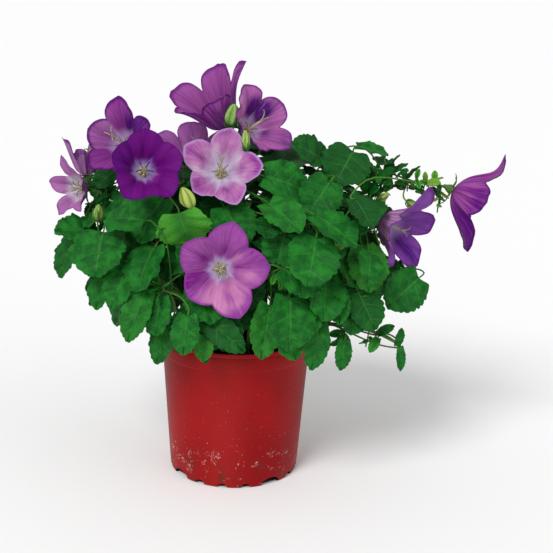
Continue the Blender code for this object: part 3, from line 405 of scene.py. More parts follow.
# Finer blooms
FINE_COLUMNS = 20
FINE_ROWS = 24
ROW_CROWDING = 0.85
PETAL_THICKNESS = 0.6
PETAL_THINNING = 0.55
LOBE_TIP = 0.08
LOBE_TIP_WIDTH = 0.25
LOBE_FREE_FROM = 0.45
LOBE_OVERLAP = 0.05
LOBE_PASS = 1.6
LOBE_KEEL = 0.7
KEEL_RISE = 3.0
KEEL_FADE = 0.5
KEEL_WIDTH = 0.13
LOBE_BULGE = 1.5
BULGE_RISE = 1.6
# The lobes' tints, partly painted shade and highlight, grow to full from the petal's foot up to this share
TINT_AND_SHADE_FROM = 0.35
EDGE_RIPPLE = 0.55
RIPPLE_SHIFT = 1.3
EDGE_WAVES = ((1.0, 2.3, 1.7), (0.6, 5.1, 2.9))
STYLE_CURVE = ((0.75, 0.0), (7.5, 0.25), (15.0, 0.0))
STIGMA_CURVE = ((13.4, 0.1), (15.4, 0.9), (16.8, 2.6), (17.2, 4.6), (16.4, 6.2))
STAMEN_FOOT_CURVE = ((0.75, 2.2), (1.95, 2.5), (3.15, 1.9), (4.15, 1.5))
ANTHER_CURVE = ((3.75, 1.6), (5.2, 2.5), (6.2, 3.6), (6.5, 4.8), (6.1, 5.8))
STYLE_THICKNESS = (0.95, 0.6)
STYLE_LEAN = 3.5
STYLE_SIDES = 9
ROD_SIDES = 8
ROD_SMOOTH = 4
STIGMA_TURNS = (-0.65, 0.65, 3.0)
STIGMA_THICKNESS = (0.55, 0.26)
STAMEN_FOOT_THICKNESS = (1.25, 0.5)
ANTHER_THICKNESS = (0.28, 0.42)
SEPAL_CURVE = ((-1.95, 2.4), (-1.85, 4.6), (-1.65, 7.4), (-2.45, 10.0), (-3.95, 12.2))
SEPAL_WIDTH = 2.0
SEPAL_THICKNESS = 0.5
BLADE_SMOOTH = 3
BLADE_PLACES = (-1.0, -0.5, 0.0, 0.5, 1.0)
BLADE_TAPER = 1.6
BLADE_FOOT_SHARE = 0.75
BLADE_SWELL = 0.5
BLADE_POINT = 0.05
BLADE_GUTTER = 0.12
CALYX_RINGS = 9
CALYX_SIDES = 30
CALYX_RIBS = 10
CALYX_FULLNESS = 1.15
RIB_SHARE = 0.09
BUD_RINGS = 16
BUD_RIBS = 0.13
BUD_TWIST = 0.6
BUD_FULLNESS = 0.85
BUD_BLUNTNESS = 0.6
BUD_CLOSED_AT = 0.99
BUD_POINT = 0.1
FINE_BUD_STALK_STEPS = 10
FINE_BUD_STALK_SUNK = 1.0
BUD_SEPAL_TURN = 0.3
BUD_SEPAL_SHARE = 0.5
BUD_SEPAL_CURVE = ((0.0, 0.4), (0.08, 0.9), (0.2, 1.12), (0.34, 1.16), (0.5, 1.2))

# How ripe each bud is, from green to yellow, how far up its sepals reach, and how thick it is against
# the plain bud.
BudLook = namedtuple("BudLook", "ripe sepals girth")
BUD_LOOKS = [
    BudLook(0.15, 0.5, 1.25),
    BudLook(0.55, 0.8, 1.0),
    BudLook(0.9, 0.0, 1.0),
    BudLook(0.3, 1.6, 0.9),
    BudLook(0.5, 1.2, 0.9),
    BudLook(0.6, 1.4, 0.9),
]

# Leaves that fill open places of the finer plant
GAP_LEAVES = [
    Leaf((-84, 14, 204), (-97, 8, 193), 14, (-0.1, -0.8, 0.6)),
    Leaf((-86, 10, 193), (-99, 4, 183), 14, (-0.1, -0.8, 0.6)),
    Leaf((-80, 8, 200), (-87, 4, 189), 12, (0.1, -0.8, 0.6)),
    Leaf((-92, 16, 202), (-102, 12, 194), 11, (-0.2, -0.8, 0.5)),
    Leaf((-94, 4, 186), (-104, -2, 179), 11, (-0.2, -0.8, 0.5)),
    Leaf((-84, 4, 184), (-90, -4, 174), 12, (0.0, -0.8, 0.6)),
    Leaf((16, 12, 190), (18, 6, 176), 16, (0.1, -0.8, 0.6)),
    Leaf((26, 8, 184), (30, 2, 172), 15, (0.1, -0.8, 0.6)),
    Leaf((8, 16, 192), (6, 10, 180), 15, (0.0, -0.8, 0.6)),
]
GAP_LEAF_STEADINESS = 2.0

# Shells of leaves added between those that the solids have: how far out, how many, the first draw,
# and their size against those leaves
EXTRA_SHELLS = (
    (0.85, 60, 3000, 1.0),
    (1.0, 50, 4000, 0.9),
    (0.72, 70, 5000, 0.9),
    (0.58, 50, 5500, 0.9),
    (1.0, 110, 7000, 0.55),
    (0.9, 90, 8000, 0.6),
)
SMALL_LEAF = 20.0

# Tiny leaves along the upper part of the stems that carry blooms
STEM_LEAF_FROM = 0.35
STEM_LEAF_TO = 0.93
STEM_LEAF_STEP = 8.0
STEM_LEAF_LENGTHS = (7.0, 13.0)
STEM_LEAF_WIDTHS = (0.4, 0.6)
STEM_LEAF_SPARE = 0.4
STEM_LEAF_LEAN = (0.3, 0.9)
STEM_LEAF_UP = 0.6
DENSE_STEMS = (10, 11)
DENSE_LEAF_STEP = 3.0
DENSE_LEAF_SIZE = 0.7
DENSE_LEAF_TONES = (0.9, 1.15)
DENSE_SMOOTH = 16

# Thin side shoots set with tiny leaves, where the plant is thick with them: the number of the stem that
# each grows from, the place of its tip, the size of its leaves against those on the stems, and how light
# they are.
Sprig = namedtuple("Sprig", "node tip size tone")
SPRIG_ROWS = (
    (11, (84, 2, 222), 1.1, 0.5), (11, (92, -6, 214), 1.2, 0.7), (11, (98, 12, 220), 1.2, 0.3),
    (11, (104, 0, 213), 1.1, 0.5), (11, (112, 8, 212), 1.0, 0.4), (11, (108, -8, 204), 0.9, 1.1),
    (11, (120, 14, 210), 0.8, 1.0), (11, (126, -4, 205), 0.7, 1.15), (11, (118, -6, 210), 0.7, 1.1),
    (11, (132, 2, 209), 0.6, 1.15), (11, (124, 2, 196), 0.7, 1.05), (11, (100, -2, 206), 0.8, 1.1),
    (11, (116, 20, 196), 1.0, 0.3), (11, (100, 24, 206), 1.1, 0.4), (11, (136, 0, 192), 0.9, 0.1),
    (11, (130, 8, 190), 0.9, 0.2), (11, (84, -10, 200), 1.1, 0.6), (11, (92, 30, 212), 1.2, 0.3),
    (10, (84, -14, 192), 0.8, 1.1), (10, (94, -16, 190), 0.7, 1.1), (10, (72, -14, 196), 0.8, 1.05),
    (10, (66, -20, 186), 1.0, 0.6), (10, (90, 6, 184), 1.0, 0.5), (10, (112, -20, 164), 0.8, 0.1),
    (10, (116, -16, 174), 0.8, 0.1), (11, (134, -4, 187), 0.7, 1.4), (9, (-90, -8, 203), 0.8, 1.4),
    (9, (-99, -4, 176), 0.6, 1.4), (9, (-96, 2, 200), 0.9, 1.1), (9, (-92, -4, 192), 0.9, 0.8),
    (9, (-88, -6, 200), 0.9, 0.5), (9, (-84, -2, 196), 1.0, 0.4), (9, (-86, 10, 204), 1.0, 0.3),
    (9, (-94, 12, 190), 1.1, 0.4), (8, (-96, -10, 186), 0.8, 1.1), (8, (-90, -14, 194), 0.8, 0.7),
    (8, (-84, -14, 188), 0.9, 0.5), (8, (-100, -4, 180), 0.9, 0.6), (8, (-80, -20, 180), 1.0, 0.3),
    (8, (-106, 4, 184), 1.0, 0.2), (8, (-114, -2, 184), 0.9, 0.1), (9, (-98, -2, 194), 0.7, 0.9),
    (9, (-104, 0, 198), 0.6, 1.1), (8, (-88, -12, 180), 0.8, 0.4), (8, (-92, -2, 176), 0.8, 0.3),
    (19, (-96, 10, 170), 0.9, 0.4), (19, (-90, 0, 166), 0.9, 0.5), (19, (-100, -8, 168), 0.8, 0.6),
    (15, (70, 40, 212), 1.0, 0.4), (15, (60, 40, 214), 1.0, 0.5), (15, (78, 30, 204), 1.0, 0.4),
    (20, (-62, -36, 112), 0.9, 0.8), (20, (-56, -44, 104), 0.8, 0.95), (21, (-44, -54, 108), 0.8, 0.9),
    (21, (-32, -58, 104), 0.8, 0.7), (21, (-20, -62, 103), 0.8, 0.8), (21, (-58, -64, 140), 0.8, 0.9),
    (21, (-40, -72, 136), 0.8, 1.05), (21, (-54, -68, 154), 0.8, 0.9), (28, (42, -58, 104), 0.9, 0.8),
    (28, (52, -56, 107), 0.9, 0.6), (28, (68, -54, 106), 0.8, 0.9), (28, (86, -44, 104), 0.8, 1.0),
    (24, (60, -64, 150), 0.8, 1.05), (24, (72, -60, 158), 0.8, 0.95), (24, (84, -52, 142), 0.8, 0.9),
    (24, (88, -46, 154), 0.8, 1.05), (23, (66, -58, 174), 0.7, 1.1), (23, (58, -60, 184), 0.7, 1.0),
    (23, (46, -62, 178), 0.7, 0.9), (22, (34, -72, 166), 0.8, 0.9), (22, (30, -74, 154), 0.8, 1.0),
    (25, (112, -20, 164), 0.7, 0.4), (25, (110, -18, 156), 0.7, 0.3), (25, (120, -18, 152), 0.8, 0.9),
)
SPRIGS = [Sprig(f"stem_{stem:02d}", tip, size, tone) for stem, tip, size, tone in SPRIG_ROWS]
SPRIG_SHORTEST = 6.0
SPRIG_RISE = 0.12
SPRIG_BEND = 0.4
SPRIG_STEP = 3.2
SPRIG_FEWEST_STEPS = 3
SPRIG_LEAVES_A_STEP = 2
SPRIG_SIDES = 4
SPRIG_TONES = (0.85, 1.0)
SPRIG_RADIUS = 0.5

# Values kept at the points of the leafy and the petal pieces, and the angle over which an edge stays sharp,
# in degrees
LEAFY_VALUES = ("vein", "spread", "ahead", "aside", "under", "tone")
PETAL_VALUES = ("reach", "share", "offset", "lobe", "tint", "under")
SMOOTH_ANGLE = 50.0

# Colours as red, green and blue on a screen, from 0 to 255, and the share of a screen colour's light
# that its surface sends back under these lamps
COLOR_SHARE = 0.76
POT_RED = (170, 18, 22)
POT_DEEP_RED = (150, 12, 18)
# Red of the painted sheen
POT_SHEEN_RED = (186, 56, 50)
# Brown of the smudges, and of the painted shade at the pot's sides
POT_DIRT_AND_SIDE_SHADE = (96, 50, 36)
POT_SCUFF = (236, 190, 184)
POT_INSIDE = (16, 17, 26)
POT_DUST = (52, 44, 42)
SOIL_DARK = (14, 13, 17)
SOIL_LIGHT = (52, 42, 36)
SOIL_BLUE = (30, 32, 46)
SOIL_FIBRE = (120, 92, 62)
STEM_GREEN = (40, 108, 32)
STEM_LIGHT = (92, 146, 56)
STEM_BROWN = (96, 84, 50)
LEAF_LIME = (128, 178, 62)
LEAF_WITHERED = (214, 186, 84)
LEAF_DEEP = (16, 94, 32)
LEAF_GREEN = (34, 130, 40)
LEAF_FRESH = (86, 174, 56)
LEAF_DARK = (16, 72, 30)
LEAF_VEIN = (92, 166, 74)
LEAF_UNDER = (64, 124, 62)
LEAF_BROWN = (92, 92, 42)
SEPAL_GREEN = (52, 108, 46)
SEPAL_LIGHT = (112, 148, 66)
BUD_GREEN = (112, 170, 78)
BUD_YELLOW = (196, 208, 92)
BUD_PALE = (178, 210, 124)
BUD_FOOT = (70, 136, 54)
# Pale colour of the painted highlights along a bud's ribs
BUD_RIDGE_HIGHLIGHT = (198, 222, 140)
BUD_GROOVE = (76, 130, 50)
EYE_GREEN = (170, 172, 124)
PETAL_FOOT = (156, 146, 204)

# Where the pot's marks are: across it for the painted sheen and painted side shade, and up it for the others
SHEEN_SHIFT = 7.0
SHEEN_REACH = 24.0
SHADED_SIDES = (41.0, 52.0)
SMUDGES_BELOW = 30.0
SCRATCHES_BETWEEN = (5.0, 10.0, 18.0, 32.0)
SPECKS_BELOW = 95.0

# The stems turn brown from the first of these heights down to the second
BROWN_STEMS_BELOW = 135.0
SOIL_LEVEL = 90.0

# Tones of the first leaf and, at most, of those without a tone of their own. Then the tones at which a leaf
# begins to turn and has turned fresh, dark, lime green or withered, and the widths of its side veins at the
# midrib and the edge.
BRIGHT_TONE = 1.0
COMMON_TONE = 0.9
FRESH_TONES = (0.84, 1.0)
DARK_TONES = (0.6, 0.0)
LIME_TONES = (1.0, 1.1)
WITHERED_TONES = (1.2, 1.4)
VEIN_WIDTHS = (0.075, 0.03)

# Style, stigma, common anthers and dark ones: the name of each surface, its two colours and its roughness
HEART_COLORS = (
    ("style_cream", (196, 190, 140), (226, 220, 186), 0.5),
    ("stigma_grey", (120, 112, 96), (196, 190, 158), 0.55),
    ("anther_tan", (96, 80, 90), (176, 160, 140), 0.6),
    ("anther_violet", (36, 16, 70), (86, 60, 120), 0.6),
)

PAINT_FIELDS = (
    "main light deep pale edge back back_light throat fade ray rim blotch style_turn lobes patches foot "
    "style_size dark_anthers"
)
PLAIN_LOBES = ((0.0, 0.0),) * LOBES
Paint = namedtuple("Paint", PAINT_FIELDS, defaults=(PLAIN_LOBES, (), 0.0, 1.0, False))

# Each bloom's colours: most of the petal, its light and deep tints, the throat, the rim, and the outside
# with its light streaks. Then how far the throat reaches, over how much it fades, how far it runs out
# between the lobes, how wide the rim is, how blotched the petal is, and the side that the style leans to,
# in degrees from the first lobe. Then for each lobe its tint, from -1 deep to 1 light, and how much that
# changes from its middle to its later edge. A patch has its place in lobes and in shares of the petal's
# length, its two widths and its tint. These lobe tints and patches are partly the petal's own colour and
# partly painted shade and painted highlight where the lobes fold and turn from the light. Last, how blue
# the outside is near its foot, the size of the style, and whether the anthers are dark.
PAINTS = [
    Paint(
        (158, 76, 162), (214, 138, 188), (120, 6, 132), (194, 170, 216), (146, 54, 156),
        (118, 56, 150), (168, 112, 184), 0.05, 0.2, 0.12, 0.08, 1.1, 215,
        lobes=((0.0, 0.0), (0.0, -0.1), (0.15, 0.9), (0.75, -0.2), (0.2, 0.0)),
        patches=(
            (0.0, 0.35, 0.2, 0.16, -0.5), (1.0, 0.4, 0.22, 0.16, -0.6), (1.75, 0.85, 0.2, 0.3, -0.9),
            (3.1, 0.95, 0.25, 0.12, -0.9), (4.25, 0.9, 0.25, 0.2, -0.6), (3.75, 0.6, 0.25, 0.25, 0.4),
            (2.9, 0.55, 0.15, 0.2, -0.5), (2.4, 0.6, 0.1, 0.35, 0.5), (4.5, 0.5, 0.12, 0.3, 0.6),
        ),
        style_size=0.8,
    ),
    Paint(
        (188, 112, 178), (224, 194, 222), (148, 58, 150), (214, 196, 228), (190, 146, 208),
        (150, 96, 172), (196, 156, 204), 0.06, 0.46, 0.24, 0.08, 1.9, 10,
        lobes=((0.35, 0.0), (0.3, 0.0), (0.1, 0.0), (0.15, 0.0), (0.35, 0.0)),
        patches=(
            (0.15, 0.9, 0.25, 0.16, -0.9), (1.0, 0.6, 0.1, 0.3, -1.1), (2.0, 0.8, 0.3, 0.2, -0.8),
            (2.85, 0.55, 0.16, 0.25, -1.0), (4.0, 0.92, 0.3, 0.16, -1.6), (0.45, 0.6, 0.2, 0.4, 0.6),
            (3.9, 0.4, 0.14, 0.16, -0.8), (0.9, 0.9, 0.3, 0.12, -0.6), (3.15, 0.9, 0.2, 0.12, -0.7),
            (1.5, 0.6, 0.2, 0.4, 0.6), (3.5, 0.6, 0.2, 0.4, 0.7), (4.5, 0.6, 0.18, 0.4, 0.6),
        ),
    ),
    Paint(
        (108, 4, 122), (140, 34, 144), (70, 0, 110), (162, 136, 200), (88, 0, 112),
        (88, 6, 124), (128, 52, 150), 0.06, 0.24, 0.12, 0.06, 0.9, 20,
        lobes=((-0.1, 0.2), (-0.4, 0.0), (0.1, 0.1), (0.15, 0.0), (0.0, 0.0)),
        patches=((3.0, 0.3, 0.8, 0.14, 0.8),),
        style_size=0.45,
        dark_anthers=True,
    ),
    Paint(
        (148, 58, 150), (184, 118, 182), (84, 4, 120), (188, 156, 206), (84, 2, 110),
        (80, 2, 118), (124, 48, 148), 0.14, 0.22, 0.1, 0.12, 0.5, 40,
        lobes=((-0.1, 0.5), (0.5, 0.0), (-0.1, 0.3), (-0.6, 0.0), (-0.7, 0.0)),
        patches=((4.55, 0.5, 0.25, 0.3, -0.9), (0.6, 0.7, 0.15, 0.4, 0.3)),
    ),
    Paint(
        (160, 76, 156), (188, 116, 182), (92, 4, 118), (190, 150, 206), (104, 14, 126),
        (158, 30, 170), (206, 110, 214), 0.14, 0.24, 0.15, 0.10, 0.5, -45,
        lobes=((0.1, 0.0), (0.2, 0.1), (-0.1, 0.0), (0.2, 0.0), (0.0, 0.0)),
        foot=0.15,
    ),
    Paint(
        (176, 96, 166), (206, 140, 194), (78, 4, 116), (200, 166, 212), (116, 34, 136),
        (112, 80, 160), (146, 116, 184), 0.12, 0.22, 0.2, 0.08, 0.6, -60,
        lobes=((0.45, 0.4), (0.0, 0.0), (0.0, 0.0), (-0.1, 0.0), (0.1, -0.2)),
        patches=((4.5, 0.45, 0.5, 0.36, -2.6), (3.1, 0.85, 0.25, 0.2, -0.4), (3.3, 0.4, 0.3, 0.2, -0.5)),
        foot=0.8,
    ),
    Paint(
        (176, 100, 176), (204, 144, 200), (104, 30, 130), (204, 176, 216), (130, 58, 154),
        (146, 84, 170), (184, 136, 200), 0.16, 0.28, 0.2, 0.08, 0.5, 0,
        foot=0.3,
    ),
    Paint(
        (178, 112, 174), (208, 164, 206), (142, 58, 150), (220, 204, 226), (148, 76, 158),
        (152, 94, 166), (188, 136, 192), 0.24, 0.3, 0.3, 0.08, 0.5, 60,
        style_size=0.55,
    ),
    Paint(
        (162, 94, 166), (188, 132, 190), (118, 48, 142), (204, 180, 214), (130, 58, 148),
        (158, 90, 164), (190, 138, 190), 0.22, 0.3, 0.2, 0.08, 0.4, 0,
    ),
    Paint(
        (142, 76, 174), (182, 146, 208), (88, 6, 136), (196, 168, 212), (112, 30, 140),
        (158, 92, 168), (208, 158, 204), 0.16, 0.3, 0.2, 0.10, 0.7, -100,
        lobes=((0.1, 0.0), (0.4, 0.0), (0.1, 0.0), (-0.2, 0.0), (-0.3, 0.0)),
        patches=((3.0, 0.6, 0.2, 0.4, -1.0), (4.0, 0.5, 0.3, 0.2, 0.5)),
    ),
    Paint(
        (104, 16, 132), (140, 60, 154), (84, 2, 124), (168, 136, 196), (84, 6, 112),
        (124, 30, 138), (170, 88, 164), 0.18, 0.2, 0.2, 0.08, 0.6, 180,
        lobes=((0.1, 0.0), (0.2, 0.0), (-0.7, 0.0), (-0.9, 0.0), (-0.6, 0.0)),
        patches=((1.0, 0.8, 0.4, 0.25, -0.9),),
        dark_anthers=True,
    ),
]

# Camera and lights. The camera's tilts are down, to the right and about its own axis, in degrees,
# and its focal length is in pixels of a frame of this width.
CAMERA_TILTS = (16.53, 1.76, 1.66)
CAMERA_PLACE = (0.0, -874.0, 398.0)
CAMERA_FOCAL = 1329.0
FRAME_WIDTH = 553.0
SENSOR_WIDTH = 36.0
FLOOR_REACH = 12000.0
FLOOR_SHADE = [0.93, 0.93, 0.93, 1.0]
WORLD_STRENGTH = 0.56
WORLD_SHADE = (1.0, 1.0, 1.0, 1.0)

# Each sun's name, the direction it shines from, its strength, and the angle it fills in degrees
SUNS = (
    ("key", (-0.55, -1.0, 1.1), 2.0, 24.0),
    ("fill", (1.0, -0.8, 0.6), 0.5, 60.0),
)

# Small helpers


def unit(vector):
    return Vector(vector).normalized()


def across(vector, normal):
    """The part of a vector that lies square to a normal, made one long."""
    normal = Vector(normal)
    return (Vector(vector) - normal * Vector(vector).dot(normal)).normalized()


def smooth_step(value):
    value = min(max(value, 0.0), 1.0)
    return value * value * (3.0 - 2.0 * value)


def peak(value, width):
    """One at zero, falling smoothly to nothing."""
    return math.exp(-((value / width) ** 2))


def bezier(p0, p1, p2, p3, t):
    s = 1.0 - t
    return p0 * s**3 + p1 * 3.0 * s * s * t + p2 * 3.0 * s * t * t + p3 * t**3


def bezier_path(p0, p1, p2, p3, steps):
    return [bezier(p0, p1, p2, p3, i / steps) for i in range(steps + 1)]


def reach_of(item):
    """From the foot of a leaf or bud to its tip."""
    return Vector(item.tip) - Vector(item.base)


def way_at(path, i):
    """Direction of a path at one of its points."""
    return unit(path[min(i + 1, len(path) - 1)] - path[max(i - 1, 0)])


def around(first, second, turn):
    """Direction this far round from the first of two directions towards the second."""
    return first * math.cos(turn) + second * math.sin(turn)


def taper(first, last, count):
    """Sizes that go evenly from the first to the last."""
    return [first + (last - first) * i / (count - 1) for i in range(count)]


def ring_faces(low, high, sides):
    """Faces between two rings of points that start at these numbers."""
    return [(low + k, low + (k + 1) % sides, high + (k + 1) % sides, high + k) for k in range(sides)]


def tube(path, radii, sides):
    """Closed tube along a path. A last radius of zero ends it in a point."""
    verts = []
    faces = []
    side = None
    pointed = radii[-1] == 0.0
    rings = len(path) - 1 if pointed else len(path)
    for i, point in enumerate(path[:rings]):
        tangent = way_at(path, i)
        if side is None:
            side = across(FIRST_SIDE, tangent)
        side = across(side, tangent)
        other = tangent.cross(side)
        verts.extend(point + around(side, other, FULL_TURN * k / sides) * radii[i] for k in range(sides))
    for i in range(rings - 1):
        faces += ring_faces(i * sides, (i + 1) * sides, sides)
    faces.append(tuple(reversed(range(sides))))
    last = (rings - 1) * sides
    if pointed:
        verts.append(path[-1].copy())
        faces += [(last + k, last + (k + 1) % sides, len(verts) - 1) for k in range(sides)]
    else:
        faces.append(tuple(range(last, last + sides)))
    return verts, faces


def thicken(verts, faces, thicknesses):
    """Closed solid from an open sheet, with its own thickness at each point."""
    sheet = bmesh.new()
    for vert in verts:
        sheet.verts.new(vert)
    sheet.verts.ensure_lookup_table()
    sheet.verts.index_update()
    for face in faces:
        sheet.faces.new([sheet.verts[i] for i in face])
    sheet.normal_update()
    halves = [0.5 * thickness for thickness in thicknesses]
    count = len(verts)
    solid_verts = [v.co + v.normal * halves[v.index] for v in sheet.verts]
    solid_verts += [v.co - v.normal * halves[v.index] for v in sheet.verts]
    solid_faces = [tuple(face) for face in faces]
    solid_faces += [tuple(i + count for i in reversed(face)) for face in faces]
    for edge in sheet.edges:
        if edge.is_boundary:
            loop = edge.link_loops[0]
            a = loop.vert.index
            b = loop.link_loop_next.vert.index
            solid_faces.append((b, a, a + count, b + count))
    sheet.free()
    return solid_verts, solid_faces


def triangles(faces):
    """Fans of triangles in place of the faces."""
    return [(face[0], face[i], face[i + 1]) for face in faces for i in range(1, len(face) - 1)]


def tree_of(solid):
    return BVHTree.FromPolygons(solid[0], triangles(solid[1]))


def crosses_itself(solid):
    """Whether two triangles without a common corner meet."""
    corners = triangles(solid[1])
    tree = tree_of(solid)
    return any(not set(corners[a]) & set(corners[b]) for a, b in tree.overlap(tree))


# Plain shapes, as in the solids, that keep the leaves clear of each other


def leaf_outline(teeth):
    """One side of the blade from the notch at its stalk to the tip, as shares of its length and width."""
    steps = 2 * teeth + 1
    points = []
    for i in range(steps + 1):
        s = i / steps
        along = 0.5 * (1.0 - TIP_STRETCH) * (1.0 - math.cos(math.pi * s)) + TIP_STRETCH * s**TIP_POWER
        along -= BASE_LOBE * peak(s - BASE_LOBE_AT, BASE_LOBE_SPREAD)
        out = HALF_WIDTH * max(0.0, math.sin(math.pi * s**WIDEST_SHIFT))
        if i % 2 == 1 and i < steps:
            along += TOOTH_FORWARD
            out *= 1.0 + TOOTH_OUT
        points.append((along, out))
    return points


def leaf_axes(leaf):
    """Directions along the blade, across it to the right, and out of its face."""
    ahead = unit(reach_of(leaf))
    face = across(leaf.facing, ahead)
    return ahead, ahead.cross(face), face


def blade_point(leaf, along, out, lift):
    """Point of the folded, arched blade, from shares of its length and width and a lift off its face."""
    ahead, side, face = leaf_axes(leaf)
    length = reach_of(leaf).length
    height = LEAF_ARCH * length * (along - along * along) + LEAF_FOLD * abs(out) * leaf.width
    return Vector(leaf.base) + ahead * along * length + side * out * leaf.width + face * (height + lift)


def stalk_path(start, leaf):
    """From a stem to the blade's foot, straight past its base lobes."""
    ahead, _, face = leaf_axes(leaf)
    length = reach_of(leaf).length
    neck = Vector(leaf.base) - ahead * STALK_NECK * length - face * STALK_DROP * length
    gap = (neck - start).length
    share, lift, back = STALK_BOW
    middle = start + (neck - start) * share + UP * gap * lift
    return bezier_path(start, middle, neck - ahead * gap * back, neck, STALK_STEPS) + [Vector(leaf.base)]


def leaf_solid(leaf, start=None, spare=0.0):
    """Toothed blade, thickest at its midrib and thin at its edge, grown out of the end of its stalk."""
    ahead, side = leaf_axes(leaf)[:2]
    path = stalk_path(start, leaf) if start else [Vector(leaf.base) - ahead, Vector(leaf.base)]
    verts = []
    faces = [(0, 1, 2)]
    rings = []
    for i in range(len(path) - 1, -1, -1):
        tangent = way_at(path, i) if i < len(path) - 1 else ahead
        side = across(side, tangent)
        over = side.cross(tangent)
        radius = (STALK_ROOT_RADIUS if i == 0 else STALK_RADIUS) + spare
        rings.append([path[i] + around(side, over, turn) * radius for turn in STALK_ANGLES])
    for ring in reversed(rings):
        verts.extend(ring)
    for i in range(len(rings) - 1):
        for k in range(3):
            k2 = (k + 1) % 3
            faces.append((3 * i + k, 3 * i + 3 + k, 3 * i + 3 + k2, 3 * i + k2))
    right, left, under = range(len(verts) - 3, len(verts))

    outline = leaf_outline(leaf.teeth)
    last = len(outline) - 1
    tip = len(verts)
    verts.append(blade_point(leaf, 1.0, 0.0, 0.0))
    edges = {}
    for hand, first in ((1, right), (-1, left)):
        edges[hand] = [first]
        for i in range(1, last):
            along, out = outline[i]
            wave = LEAF_WAVE * leaf.width * math.sin(WAVE_TURN * i + hand)
            edges[hand].append(len(verts))
            verts.append(blade_point(leaf, along, hand * out * (1.0 + spare / leaf.width), wave))
        edges[hand].append(tip)
    shares = MIDRIB_SHARES[leaf.teeth]
    ribs = {}
    for top in (1, -1):
        ribs[top] = list(range(len(verts), len(verts) + len(shares)))
        lift = top * (0.5 * BLADE_THICKNESS + spare)
        verts.extend(blade_point(leaf, share, 0.0, lift) for share in shares)

    for hand in (1, -1):
        rib = 0
        sector = []
        for i in range(1, last + 1):
            sector.append((i, rib, None))
            while rib < len(shares) - 1 and outline[i][0] > 0.5 * (shares[rib] + shares[rib + 1]):
                sector.append((i, rib + 1, rib))
                rib += 1
        for top in (1, -1):
            for i, near, far in sector:
                if far is None:
                    corner = (edges[hand][i - 1], edges[hand][i], ribs[top][near])
                else:
                    corner = (edges[hand][i], ribs[top][near], ribs[top][far])
                faces.append(corner if hand * top > 0 else corner[::-1])
    faces.append((right, ribs[1][0], left))
    faces.append((right, under, ribs[-1][0]))
    faces.append((under, left, ribs[-1][0]))
    return verts, faces


def bloom_axes(bloom):
    """The bloom's axis and the two directions across it, the first one towards its first lobe."""
    axis = unit(bloom.facing)
    roll = Matrix.Rotation(math.radians(bloom.roll), 3, axis)
    first = roll @ across(UP, axis)
    return axis, first, axis.cross(first)


def bloom_point(bloom, height, angle, radius):
    """Point this high up a bloom's axis from the foot of its bell, and this far out from the axis."""
    axis, first, second = bloom_axes(bloom)
    return Vector(bloom.base) + axis * height + around(first, second, angle) * radius


def lobe_offset(angle):
    """Nearest lobe's number, and how far this angle is from its middle: 0 there, 1 between two lobes."""
    turns = angle / LOBE_ANGLE
    lobe = math.floor(turns + 0.5)
    return lobe, 2.0 * (turns - lobe)


def lip_slope(bloom, angle):
    """Slope of the petal's end, blended between neighbouring lobes."""
    lobe, offset = lobe_offset(angle)
    neighbour = lobe + (1 if offset > 0.0 else -1)
    mix = 0.5 * offset * offset
    return bloom.lips[lobe % LOBES] * (1.0 - mix) + bloom.lips[neighbour % LOBES] * mix


def petal_curve(bloom, lip, length):
    """Radius and height of the bell after this length up a petal, and the slope there."""
    radius = THROAT_RADIUS
    height = 0.0
    step = length / CURVE_STEPS
    lip_start = max(LIP_SHARE, bloom.bowl)
    for i in range(CURVE_STEPS):
        share = (i + 0.5) * step / bloom.reach
        base_part = max(0.0, 1.0 - share / bloom.bowl) ** 2
        lip_part = smooth_step((share - lip_start) / (1.0 - lip_start))
        degrees = bloom.waist + (BASE_SLOPE - bloom.waist) * base_part + (lip - bloom.waist) * lip_part
        slope = math.radians(degrees)
        radius += step * math.sin(slope)
        height += step * math.cos(slope)
    return radius, height, slope


def petal_length(bloom, angle):
    lobe, offset = lobe_offset(angle)
    free = (1.0 - bloom.cut) * bloom.spans[lobe % LOBES]
    return bloom.reach * (bloom.cut + free * (1.0 - abs(offset) ** bloom.power))


def corolla_point(bloom, angle, share):
    """Point of the bell, this share of the way up the petal at this angle."""
    length = petal_length(bloom, angle) * share
    radius, height, _ = petal_curve(bloom, lip_slope(bloom, angle), length)
    return bloom_point(bloom, height, angle, radius)


def bell_faces(columns, rows):
    """Faces of an open bell: round its foot, which is point 0, then up through its rings of points."""
    faces = []
    for k in range(columns):
        k2 = (k + 1) % columns
        faces.append((0, 1 + k, 1 + k2))
        for row in range(rows):
            low = 1 + row * columns
            high = low + columns
            faces.append((low + k, high + k, high + k2, low + k2))
    return faces


def corolla(bloom):
    """Bell of five joined petals with free lobes."""
    columns = LOBES * COLUMNS_PER_LOBE
    shares = (0.0,) + COROLLA_ROWS
    verts = [Vector(bloom.base)]
    for share in shares:
        verts.extend(corolla_point(bloom, FULL_TURN * k / columns, share) for k in range(columns))
    faces = triangles(bell_faces(columns, len(COROLLA_ROWS)))
    return thicken(verts, faces, [COROLLA_THICKNESS] * len(verts))


def mouth(bloom):
    """Flat cover of a bloom's mouth, which leaves keep out of."""
    verts = [corolla_point(bloom, LOBE_ANGLE * k, MOUTH_SHARE) for k in range(LOBES)]
    return verts, [tuple(range(LOBES))]


